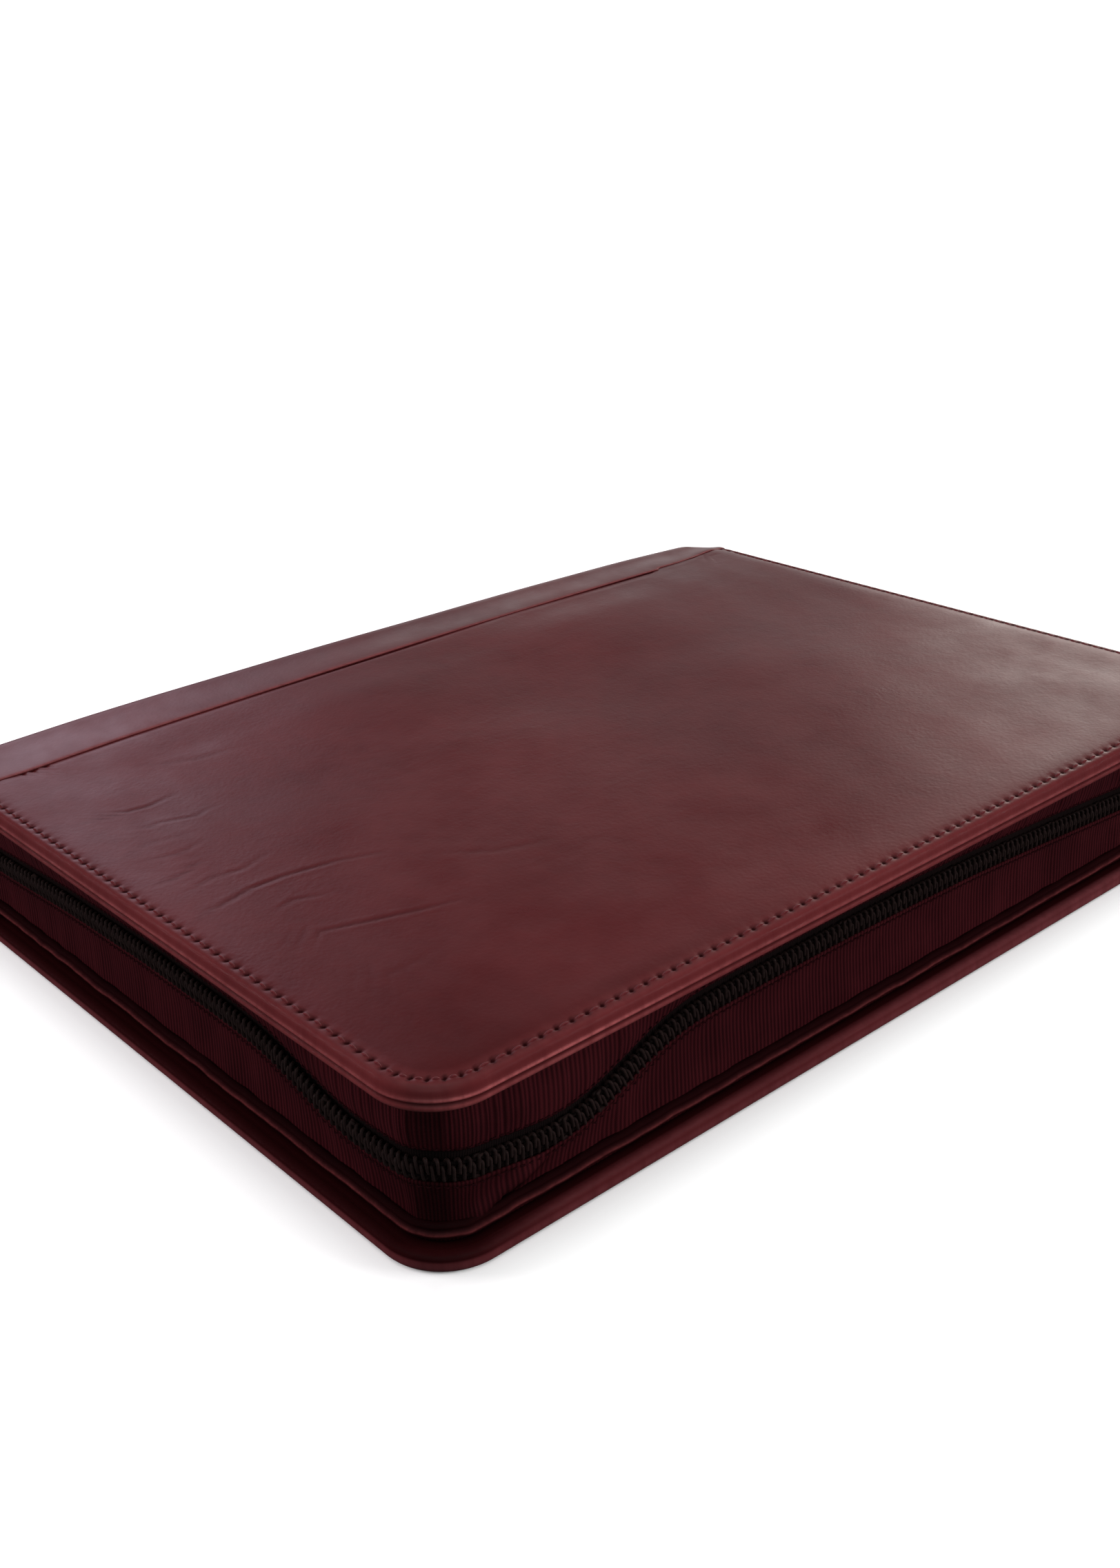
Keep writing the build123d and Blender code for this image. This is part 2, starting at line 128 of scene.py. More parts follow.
class Tree:
    """A shader tree. Where an input is given, a socket is linked and a plain value is stored."""

    def __init__(self, owner):
        owner.use_nodes = True
        self.nodes, self.links = owner.node_tree.nodes, owner.node_tree.links

    def put(self, socket, value):
        """Links a socket or stores a value in it; colours are given without their alpha."""
        if isinstance(value, bpy.types.NodeSocket):
            self.links.new(value, socket)
        else:
            socket.default_value = (*value, 1) if socket.type == "RGBA" else value

    def node(self, kind, *places, **inputs):
        """A new node, its inputs set by place or by name."""
        node = self.nodes.new("ShaderNode" + kind)
        for key, value in enumerate(places):
            self.put(node.inputs[key], value)
        for key, value in inputs.items():
            self.put(node.inputs[key.replace("_", " ")], value)
        return node

    def attribute(self, name):
        """A value stored on the mesh."""
        node = self.node("Attribute")
        node.attribute_name = name
        return node.outputs["Fac"]

    def maths(self, kind, a, b=0.0):
        """One arithmetic node."""
        node = self.node("Math", a, b)
        node.operation = kind
        return node.outputs[0]

    def scaled(self, value, factor):
        return self.maths("MULTIPLY", value, factor)

    def mix(self, share, a, b, blend="MIX"):
        """Two colours mixed by a share."""
        node = self.node("Mix", share)
        node.data_type, node.blend_type = "RGBA", blend
        self.put(node.inputs[6], a)
        self.put(node.inputs[7], b)
        return node.outputs[2]

    def spread(self, value, low, high, start=0.0, finish=1.0, kind="LINEAR"):
        """A value carried from one range to another."""
        node = self.node("MapRange", value, low, high, start, finish)
        node.interpolation_type = kind
        return node.outputs[0]

    def ramp(self, value, low, high):
        """Colour ramp between two stops, each a position and a grey level or a colour."""
        node = self.node("ValToRGB", value)
        for element, (position, level) in zip(node.color_ramp.elements, (low, high)):
            element.position = position
            element.color = (*(level if isinstance(level, tuple) else (level,) * 3), 1)
        return node.outputs[0]

    def surface(self, scale=(1, 1, 1)):
        """Surface coordinates in metres, scaled."""
        mapping = self.node("Mapping", Vector=self.node("TexCoord").outputs["UV"], Scale=scale)
        return mapping.outputs["Vector"]

    def noise(self, scale, detail=3.0, rough=0.5, distort=0.0, stretch=(1, 1, 1)):
        """Noise over the surface at a scale per metre."""
        node = self.node("TexNoise", Vector=self.surface(stretch), Scale=scale, Detail=detail,
                         Roughness=rough, Distortion=distort)
        return node.outputs["Fac"]

    def stripes(self, pitch, distort, direction):
        """Parallel stripes at a pitch in millimetres."""
        node = self.node("TexWave", Vector=self.surface(), Scale=2 * math.pi / 20 / (pitch * MM),
                         Distortion=distort, Detail=2.0)
        node.bands_direction = direction
        return node.outputs["Fac"]

    def bump(self, height, depth, below=None):
        """Bump of a depth in millimetres, stacked on another bump if there is one."""
        node = self.node("Bump", Height=height, Strength=1.0, Distance=depth * MM)
        if below is not None:
            self.put(node.inputs["Normal"], below)
        return node.outputs["Normal"]

    def shade(self, **inputs):
        """Sets inputs of the surface shader."""
        for key, value in inputs.items():
            self.put(self.nodes["Principled BSDF"].inputs[key.replace("_", " ")], value)


SOFT_BOXES = [
    # (azimuth, elevation, inner and outer angle in degrees, strength, colour): bright areas of the studio
    (137, 5, 5, 16, 0.64, (1.0, 0.95, 0.95)),
    (111, 13, 6, 19, 2.35, (1.0, 0.90, 0.84)),
    (165, 19, 6, 19, 1.00, (1.0, 0.82, 0.97)),
    (140, 25, 5, 40, 0.02, (1.0, 0.95, 0.95)),
    (-40, 40, 12, 60, 0.06, (1.0, 1.0, 1.0)),
]
DIM = (0.040, 0.038, 0.040)


def add_world():
    """Dim studio with soft bright areas low behind the case, which the leather reflects at a low angle."""
    world = bpy.data.worlds.new("studio")
    bpy.context.scene.world = world
    tree = Tree(world)
    coordinate = tree.node("TexCoord").outputs["Generated"]
    total = DIM
    for azimuth, elevation, inner, outer, strength, colour in SOFT_BOXES:
        a, e = math.radians(azimuth), math.radians(elevation)
        towards = math.cos(a) * math.cos(e), math.sin(a) * math.cos(e), math.sin(e)
        dot = tree.node("VectorMath", coordinate, towards)
        dot.operation = "DOT_PRODUCT"
        limits = math.cos(math.radians(outer)), math.cos(math.radians(inner))
        share = tree.spread(dot.outputs["Value"], *limits, kind="SMOOTHERSTEP")
        box = tree.mix(share, (0, 0, 0), tuple(strength * c for c in colour))
        total = tree.mix(1.0, total, box, "ADD")
    tree.put(tree.nodes["Background"].inputs["Color"], total)


FLOOR_NEAR, FLOOR_RIM, FLOOR_RISE = 20.0, 24.0, 1.5
FLOOR_GLOW = 0.05
# (distances from the case in metres between which the floor's own light grows, and by how much); the first
# step keeps the glow low close beside the case, a painted contact shadow
GLOW_STEPS = ((-0.006, 0.017, 0.25), (0.06, 1.2, 0.80))


def add_floor():
    """White studio table, lit from below its surface like a product sweep, with a soft contact shadow.

    Its own light grows with the distance from the case, where the lamps no longer reach. Kept low right
    beside the case, it paints part of the soft contact shadow."""
    mesh = bpy.data.meshes.new("floor")
    corners = [(-1, -1), (1, -1), (1, 1), (-1, 1)]
    levels = ((FLOOR_NEAR, 0), (FLOOR_RIM, FLOOR_RISE))
    points = [(x * reach, y * reach, z) for reach, z in levels for x, y in corners]
    faces = [(0, 1, 2, 3)] + [(k, (k + 1) % 4, 4 + (k + 1) % 4, 4 + k) for k in range(4)]
    mesh.from_pydata(points, [], faces)
    floor = bpy.data.objects.new("floor", mesh)
    bpy.context.collection.objects.link(floor)
    material = bpy.data.materials.new("white_floor")
    tree = Tree(material)
    split = tree.node("SeparateXYZ", tree.node("TexCoord").outputs["Object"])
    beside = [tree.maths("SUBTRACT", tree.maths("ABSOLUTE", split.outputs[k]), reach * MM)
              for k, reach in enumerate((FORE, END))]
    outside = tree.maths("MAXIMUM", *beside)
    glow = FLOOR_GLOW
    for low, high, gain in GLOW_STEPS:
        glow = tree.maths("ADD", tree.spread(outside, low, high, finish=gain, kind="SMOOTHSTEP"), glow)
    tree.shade(Base_Color=(0.85, 0.85, 0.85), Roughness=1.0, Specular_IOR_Level=0.0, Emission_Color=(1, 1, 1),
               Emission_Strength=glow)
    mesh.materials.append(material)
    floor.visible_diffuse = False
    floor.visible_glossy = False


# ------------------------------------------------------------------ materials


def darkened(colour):
    """The colour painted where a surface is marked as lying in shade."""
    return tuple(c * 0.30 for c in colour)


def leather(name, dark, light, rubbed_and_highlit, rough=0.38, shine_level=0.5, grain=0.026, wrinkle=0.08):
    """Smooth finished leather: mottled dye, fine pores and faint wrinkles. A stored value rubs edges lighter
    and, on some ridges, paints highlights in the same pale colour; another paints shade, darker and less
    shiny.
    """
    material = bpy.data.materials.new(name)
    tree = Tree(material)
    clouds, fine = tree.noise(11.0, 4.0, 0.55), tree.noise(160.0, 5.0, 0.65)
    mottle = tree.maths("ADD", tree.scaled(clouds, 0.7), tree.scaled(fine, 0.3))
    dye = tree.ramp(mottle, (0.34, dark), (0.66, light))
    wear_and_highlight, shade = tree.attribute("wear_and_highlight"), tree.attribute("shade")
    broken = tree.ramp(tree.noise(380.0, 4.0, 0.7), (0.35, 0.45), (0.62, 1.0))
    colour = tree.mix(tree.maths("MULTIPLY", wear_and_highlight, broken), dye, rubbed_and_highlit)
    gloss = tree.ramp(tree.noise(45.0, 5.0, 0.6), (0.3, rough - 0.05), (0.7, rough + 0.08))
    pores = tree.node("TexVoronoi", Vector=tree.surface(), Scale=950.0)
    pores.feature = "SMOOTH_F1"
    folds = tree.noise(95.0, 5.0, 0.55, 1.1, (1.0, 0.4, 1.0))
    where = tree.ramp(tree.noise(8.0, 2.0, 0.5), (0.40, 0.15), (0.60, 1.0))
    normal = tree.bump(tree.maths("MULTIPLY", folds, where), wrinkle)
    normal = tree.bump(fine, grain * 2.0, normal)
    # Painted shade: the stored shade value darkens the colour and lowers the shine.
    tree.shade(Base_Color=tree.mix(shade, colour, darkened(dark)),
               Specular_IOR_Level=tree.spread(shade, 0.0, 1.0, shine_level, 0.05),
               Roughness=tree.maths("ADD", gloss, tree.scaled(wear_and_highlight, 0.25)),
               Normal=tree.bump(pores.outputs["Distance"], grain, normal))
    return material


def ribbed_fabric(name, dark, light, rib, depth=0.16, rough=0.62, across=True, weave=0.35):
    """Fine-ribbed dense cloth: ribs run across the band, with a thread weave on them."""
    material = bpy.data.materials.new(name)
    tree = Tree(material)
    ribs = tree.stripes(rib, 0.35, "X" if across else "Y")
    threads = tree.stripes(weave, 0.5, "Y" if across else "X")
    clouds = tree.noise(40.0, 5.0, 0.65)
    share = tree.maths("ADD", tree.scaled(clouds, 0.6), tree.scaled(ribs, 0.4))
    colour = tree.ramp(share, (0.28, dark), (0.75, light))
    # Painted shade: the stored shade value darkens the cloth.
    tree.shade(Base_Color=tree.mix(tree.attribute("shade"), colour, darkened(dark)),
               Roughness=tree.ramp(clouds, (0.3, rough - 0.06), (0.7, rough + 0.1)),
               Specular_IOR_Level=0.12,
               Normal=tree.bump(threads, depth * 0.4, tree.bump(ribs, depth)))
    return material


def moulded(name, dark, light, rough, depth=0.01, metallic=0.0, scale=900.0, shine_level=0.5):
    """Plastic or metal with a faint uneven surface and finish."""
    material = bpy.data.materials.new(name)
    tree = Tree(material)
    spots, smears = tree.noise(scale, 4.0, 0.6), tree.noise(scale * 0.3, 3.0, 0.6)
    tree.shade(Base_Color=tree.ramp(spots, (0.3, dark), (0.7, light)),
               Roughness=tree.ramp(smears, (0.3, rough * 0.8), (0.7, rough * 1.25)),
               Metallic=metallic, Specular_IOR_Level=shine_level, Normal=tree.bump(spots, depth))
    return material


# ------------------------------------------------------------------ mesh tools


def run_length(points):
    """Distance along a line of points."""
    return np.concatenate([[0], np.cumsum(np.linalg.norm(np.diff(points, axis=0), axis=1))])


def grid_faces(rows, columns, closed=False, start=0, caps=False):
    """Quads over a grid of vertices stored row by row, with closed rows and capped ends if asked."""
    faces = []
    for a in range(start, start + (rows - 1) * columns, columns):
        for j in range(columns if closed else columns - 1):
            k = (j + 1) % columns
            faces.append((a + j, a + columns + j, a + columns + k, a + k))
    if caps:
        last = start + (rows - 1) * columns
        faces.append(tuple(range(start, start + columns))[::-1])
        faces.append(tuple(range(last, last + columns)))
    return faces


def mesh_object(name, points, faces, material, uv=None, wear_and_highlight=None, shade=None, body=None):
    """A mesh object from points in millimetres, with surface coordinates, rubbed wear mixed with painted
    highlights, and painted shade stored on it.
    """
    mesh = bpy.data.meshes.new(name)
    points = np.asarray(points, float)
    mesh.from_pydata((points * MM).tolist(), [], [tuple(int(i) for i in face) for face in faces])
    mesh.polygons.foreach_set("use_smooth", [True] * len(mesh.polygons))
    corner = np.zeros(len(mesh.loops), int)
    mesh.loops.foreach_get("vertex_index", corner)
    uv = points[:, :2] if uv is None else np.asarray(uv, float)
    layer = mesh.uv_layers.new(name="UVMap")
    layer.data.foreach_set("uv", (uv[corner] * MM).astype(np.float32).ravel())
    for key, values in (("wear_and_highlight", wear_and_highlight), ("shade", shade)):
        if values is not None:
            attribute = mesh.attributes.new(key, "FLOAT", "POINT")
            attribute.data.foreach_set("value", np.asarray(values, np.float32))
    mesh.materials.append(material)
    mesh.validate()
    piece = bpy.data.objects.new(name, mesh)
    bpy.context.collection.objects.link(piece)
    if body:
        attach(piece, body)
    return piece


def apply_modifiers(piece):
    """Makes the modifiers' result the piece's own mesh."""
    graph = bpy.context.evaluated_depsgraph_get()
    mesh = bpy.data.meshes.new_from_object(piece.evaluated_get(graph))
    piece.modifiers.clear()
    old, piece.data = piece.data, mesh
    bpy.data.meshes.remove(old)


def face_outwards(piece):
    """Turns every face of a closed mesh outwards."""
    work = bmesh.new()
    work.from_mesh(piece.data)
    bmesh.ops.recalc_face_normals(work, faces=work.faces)
    work.to_mesh(piece.data)
    work.free()
    return piece


def smoothstep(value, low, high):
    """A soft step from 0 at low to 1 at high."""
    t = np.clip((value - low) / (high - low), 0, 1)
    return t * t * (3 - 2 * t)


class Route:
    """The three open sides as stations: plan points, outward directions and the distance along."""

    def __init__(self, step, corner_step=None):
        side = np.linspace(HIDDEN_END, CORNER_X, round((CORNER_X - HIDDEN_END) / step) + 1)
        fore = np.linspace(-CORNER_Y, CORNER_Y, round(2 * CORNER_Y / step) + 1)
        turn = np.linspace(0, math.pi / 2, round(CORNER * math.pi / 2 / (corner_step or step * 0.7)) + 1)[:-1]
        rows = [(x, -END, 0, -1) for x in side[:-1]]
        rows += [self.rounded(a - math.pi / 2, -CORNER_Y) for a in turn]
        rows += [(FORE, y, 1, 0) for y in fore[:-1]]
        rows += [self.rounded(a, CORNER_Y) for a in turn]
        rows += [(x, END, 0, 1) for x in np.linspace(CORNER_X, HIDDEN_END, len(side))]
        rows = np.array(rows)
        self.point, self.out = rows[:, :2], rows[:, 2:]
        self.along = run_length(self.point)

    @staticmethod
    def rounded(angle, middle_y):
        """A station on a rounded corner."""
        out_x, out_y = math.cos(angle), math.sin(angle)
        return CORNER_X + CORNER * out_x, middle_y + CORNER * out_y, out_x, out_y

    def place(self, inset, height):
        """3-D points at an inset and a height for each station; both may be station-by-column arrays."""
        inset, height = np.broadcast_arrays(np.atleast_2d(inset), np.atleast_2d(height))
        if inset.shape[0] == 1:
            inset, height = (np.repeat(a, len(self.along), 0) for a in (inset, height))
        plan = self.point[:, None, :] - self.out[:, None, :] * inset[:, :, None]
        return np.concatenate([plan, height[:, :, None]], 2)


FRONT_MIDDLE = CORNER_X - HIDDEN_END + CORNER * math.pi / 4
BACK_MIDDLE = FRONT_MIDDLE + 2 * CORNER_Y + CORNER * math.pi / 2
ROUTE_END = BACK_MIDDLE + FRONT_MIDDLE


def sweep(name, route, inset, height, material, body, wear_and_highlight=0.0, shade=0.0):
    """A closed band with the section given by insets and heights, carried along a route."""
    points = route.place(inset, height)
    rows, columns = points.shape[:2]
    faces = grid_faces(rows, columns, closed=True, caps=True)
    steps = np.linalg.norm(np.diff(points, axis=1), axis=2)
    across = np.concatenate([np.zeros((rows, 1)), np.cumsum(steps, 1)], 1)
    uv = np.stack([np.repeat(route.along[:, None], columns, 1), across], 2).reshape(-1, 2)
    wear_and_highlight, shade = (np.broadcast_to(value, (rows, columns)).ravel() for value in (wear_and_highlight, shade))
    return face_outwards(mesh_object(name, points.reshape(-1, 3), faces, material, uv, wear_and_highlight, shade, body))


# ------------------------------------------------------------------ zip line


def keyed(along, keys, soften=5.0):
    """A smooth curve through given keys (distance along, value)."""
    keys = np.array(keys)
    fine = np.arange(-30, ROUTE_END + 30, 1.0)
    values = np.interp(fine, keys[:, 0], keys[:, 1])
    reach = np.arange(-3 * soften, 3 * soften + 1)
    kernel = np.exp(-0.5 * (reach / soften) ** 2)
    padded = np.pad(values, len(reach) // 2, mode="edge")
    values = np.convolve(padded, kernel / kernel.sum(), mode="valid")
    return np.interp(along, fine, values)


def front_x(x):
    """Distance along the route of a place on the front short side."""
    return x - HIDDEN_END


def fore_y(y):
    """Distance along the route of a place on the fore edge."""
    return FRONT_MIDDLE + CORNER * math.pi / 4 + y + CORNER_Y


BACK_ZIP = 24.0
ZIP_HEIGHT = [(front_x(-121), 24.5), (front_x(-90), 25.0), (front_x(-45), 28.3), (front_x(0), 30.2),
              (front_x(50), 30.2), (front_x(64), 29.2), (front_x(78), 25.6), (front_x(92), 23.4),
              (front_x(105), 23.6), (FRONT_MIDDLE, 25.4), (fore_y(-148), 22.8), (fore_y(-133), 20.6),
              (fore_y(-121), 22.2), (fore_y(-109), 26.4), (fore_y(-97), 30.4), (fore_y(-84), 32.2),
              (fore_y(-30), 32.4), (fore_y(30), 31.0), (fore_y(65), 29.2), (fore_y(105), 26.6),
              (fore_y(151), BACK_ZIP), (ROUTE_END, BACK_ZIP)]
ZIP_INSET = [(front_x(-121), 5.8), (front_x(-60), 6.0), (front_x(40), 6.0), (front_x(75), 5.4),
             (front_x(95), 4.9), (FRONT_MIDDLE, 5.0), (fore_y(-145), 4.6), (fore_y(-130), 4.0),
             (fore_y(-110), 4.8), (fore_y(-88), 6.6), (fore_y(0), 7.0), (fore_y(100), 6.0),
             (fore_y(151), 5.8), (ROUTE_END, 5.8)]


def zip_height(along):
    """Height of the zip's centre line."""
    return keyed(along, ZIP_HEIGHT, 6.0)


def zip_inset(along):
    """Inset of the zip's centre line."""
    return keyed(along, ZIP_INSET, 8.0)


class ZipLine:
    """Point, run direction, outward direction and upward direction at distances along the zip."""

    def __init__(self):
        route = Route(1.0, corner_step=0.8)
        points = route.place(zip_inset(route.along)[:, None], zip_height(route.along)[:, None])[:, 0]
        run = np.gradient(points, axis=0)
        run /= np.linalg.norm(run, axis=1)[:, None]
        out = np.concatenate([route.out, np.zeros((len(run), 1))], 1)
        up = np.cross(out, run)
        up = up * np.sign(up[:, 2:3])
        up /= np.linalg.norm(up, axis=1)[:, None]
        self.length = run_length(points)
        self.table = np.concatenate([points, run, out, up], 1)

    def at(self, distance):
        """Values at true distances measured along the zip itself."""
        rows = np.stack([np.interp(distance, self.length, column) for column in self.table.T], 1)
        return np.split(rows, 4, axis=1)


SIDES = 6


def tube(name, centre, radius, material, body):
    """A wire of constant radius along a dense line of points."""
    run = np.gradient(centre, axis=0)
    run /= np.linalg.norm(run, axis=1)[:, None] + 1e-12
    guide = np.zeros_like(run)
    guide[:, 2] = 1.0
    flat = np.abs(run[:, 2]) > 0.9
    guide[flat] = (1.0, 0.0, 0.0)
    first = np.cross(run, guide)
    for i in range(1, len(first)):
        carried = first[i - 1] - run[i] * (first[i - 1] @ run[i])
        size = np.linalg.norm(carried)
        first[i] = carried / size if size > 1e-9 else first[i - 1]
    first[0] /= np.linalg.norm(first[0])
    second = np.cross(run, first)
    angle = np.arange(SIDES) * 2 * math.pi / SIDES
    ring = first[:, None, :] * np.cos(angle)[:, None] + second[:, None, :] * np.sin(angle)[:, None]
    points = centre[:, None, :] + ring * radius
    faces = grid_faces(len(centre), SIDES, closed=True, caps=True)
    along = np.repeat(run_length(centre)[:, None], SIDES, 1)
    uv = np.stack([along, np.tile(angle * radius, (len(centre), 1))], 2)
    return mesh_object(name, points.reshape(-1, 3), faces, material, uv.reshape(-1, 2), body=body)


COIL_PITCH = 2.3
COIL_WIRE = 0.46
COIL_OUT = 2.6
COIL_HEAD = 0.9
COIL_LEAN = 0.32
COIL_DEPTH = 0.55
COIL_SQUARE = 0.5
TURN_POINTS = 16
CORE_OFFSET, CORE_RADIUS = 1.7, 0.42
HEM_ABOVE = 4.7
HEM_BELOW = 3.9
SEWN_BEYOND = 0.8
ZIP_STITCH, ZIP_THREAD = 1.3, 0.24


def coil(name, zip_line, side, material, body):
    """One half of the coil zip: a flattened helix whose heads lock between those of the other half.

    The front legs of both halves lean the same way, so the closed chain reads as one row of slanted bars."""
    turns = int((zip_line.length[-1] - 8) / COIL_PITCH)
    phase = np.arange(turns * TURN_POINTS) * 2 * math.pi / TURN_POINTS
    share = (phase / (2 * math.pi)) % 1.0
    whole = np.floor(phase / (2 * math.pi) + 1e-9)
    advance = np.interp(share, [0, 0.5, 1.0], [0, COIL_LEAN if side > 0 else 1.0 - COIL_LEAN, 1.0])
    start = 0.0 if side > 0 else COIL_LEAN - 0.5
    distance = 4.0 + COIL_PITCH * (whole + advance + start)
    swing, depth = (np.sign(wave) * np.abs(wave) ** COIL_SQUARE
                    for wave in (np.cos(phase), side * np.sin(phase)))
    middle, reach = (COIL_OUT - COIL_HEAD) / 2, (COIL_OUT + COIL_HEAD) / 2
    point, _, out, up = zip_line.at(distance)
    centre = point + up * (side * (middle + reach * swing))[:, None] + out * (COIL_DEPTH * depth)[:, None]
    return tube(name, centre, COIL_WIRE, material, body)


TAPE_NEAR, TAPE_FAR = 0.35, 5.6
TAPE_FRONT, TAPE_BACK = -1.15, -1.5


def zip_tape(name, zip_line, side, material, body):
    """A strip of tape beside the zip's centre line, behind the coil."""
    distance = np.arange(1.0, zip_line.length[-1] - 1.0, 2.5)
    point, _, out, up = zip_line.at(distance)
    lines = (TAPE_NEAR, (TAPE_NEAR + TAPE_FAR) / 2, TAPE_FAR)
    section = [(TAPE_NEAR, TAPE_FRONT)] + [(v, TAPE_BACK) for v in lines]
    section += [(v, TAPE_FRONT) for v in lines[:0:-1]]
    points = np.stack([point + up * (side * v) + out * w for v, w in section], 1)
    rows, columns = points.shape[:2]
    faces = grid_faces(rows, columns, closed=True, caps=True)
    across = np.array([v + (0 if w == TAPE_FRONT else 0.3) for v, w in section])
    uv = np.stack([np.repeat(distance[:, None], columns, 1), np.tile(across, (rows, 1))], 2)
    tape = mesh_object(name, points.reshape(-1, 3), faces, material, uv.reshape(-1, 2), body=body)
    return face_outwards(tape)


def capsules(name, starts, ends, radius, normals, material, body, rise=0.0, segments=6):
    """Short stitches of thread: each arches between two needle holes."""
    starts, ends, normals = (np.asarray(a, float) for a in (starts, ends, normals))
    points, faces, uv = [], [], []
    stations = np.linspace(0, 1, segments)
    angle = np.arange(SIDES) * 2 * math.pi / SIDES
    for start, end, normal in zip(starts, ends, normals):
        run = end - start
        length = np.linalg.norm(run)
        run = run / length
        side = np.cross(normal, run)
        side /= np.linalg.norm(side)
        first = len(points)
        for t in stations:
            bend = math.sin(math.pi * t)
            middle = start + run * length * t + normal * (rise * bend - radius * (1 - bend) * 0.9)
            girth = radius * (0.55 + 0.45 * math.sqrt(bend + 1e-6))
            for a in angle:
                points.append(middle + (side * math.cos(a) + normal * math.sin(a)) * girth)
                uv.append((t * length, a * radius))
        faces += grid_faces(segments, SIDES, closed=True, start=first, caps=True)
    return mesh_object(name, points, faces, material, uv, body=body)


# ------------------------------------------------------------------ panels


class Plan:
    """A rounded rectangle in plan, with evenly spaced stations that run anticlockwise from the lower left."""

    def __init__(self, low, high, radii, pitch, multiple=1):
        self.low, self.high = np.array(low[:2], float), np.array(high[:2], float)
        self.radii = np.array(radii, float)
        width, length = self.high - self.low
        straight = [width - radii[3] - radii[0], length - radii[0] - radii[1], width - radii[1] - radii[2],
                    length - radii[2] - radii[3]]
        self.sides = [multiple * max(1, round(s / pitch / multiple)) for s in (straight[0], straight[1])] * 2
        arc = max(radii) * math.pi / 2
        self.corners = 2 * multiple * max(1, round(arc / pitch / multiple / 2))
        self.count = sum(self.sides) + 4 * self.corners
        self.half = self.corners // 2

    def ring(self, inset):
        """Plan points of the outline drawn in by an inset."""
        x0, y0 = self.low
        x1, y1 = self.high
        r = self.radii
        centres = [(x1 - r[0], y0 + r[0]), (x1 - r[1], y1 - r[1]), (x0 + r[2], y1 - r[2]),
                   (x0 + r[3], y0 + r[3])]
        edges = [((x0 + r[3], y0 + inset), (x1 - r[0], y0 + inset)),
                 ((x1 - inset, y0 + r[0]), (x1 - inset, y1 - r[1])),
                 ((x1 - r[1], y1 - inset), (x0 + r[2], y1 - inset)),
                 ((x0 + inset, y1 - r[2]), (x0 + inset, y0 + r[3]))]
        rows = []
        for k in range(4):
            t = np.arange(self.sides[k])[:, None] / self.sides[k]
            rows.append(np.array(edges[k][0]) * (1 - t) + np.array(edges[k][1]) * t)
            a = np.radians(-90 + 90 * k + 90 * np.arange(self.corners) / self.corners)
            reach = max(r[k] - inset, 0.02)
            rows.append(np.array(centres[k]) + reach * np.stack([np.cos(a), np.sin(a)], 1))
        return np.concatenate(rows)

    def grid(self, inset):
        """Grid lines of the inner rectangle, and the walk round its edge that matches the stations."""
        half = self.half
        xs = np.linspace(self.low[0] + inset, self.high[0] - inset, self.sides[0] + 2 * half + 1)
        ys = np.linspace(self.low[1] + inset, self.high[1] - inset, self.sides[1] + 2 * half + 1)
        nx, ny = len(xs), len(ys)
        walk = [(i, 0) for i in range(half, nx - 1)] + [(nx - 1, j) for j in range(ny - 1)]
        walk += [(i, ny - 1) for i in range(nx - 1, 0, -1)] + [(0, j) for j in range(ny - 1, 0, -1)]
        walk += [(i, 0) for i in range(half)]
        return xs, ys, walk


def over(value, places):
    """A number, or a function of x and y, at each of some places in plan."""
    return value(places[:, 0], places[:, 1]) if callable(value) else np.full(len(places), float(value))


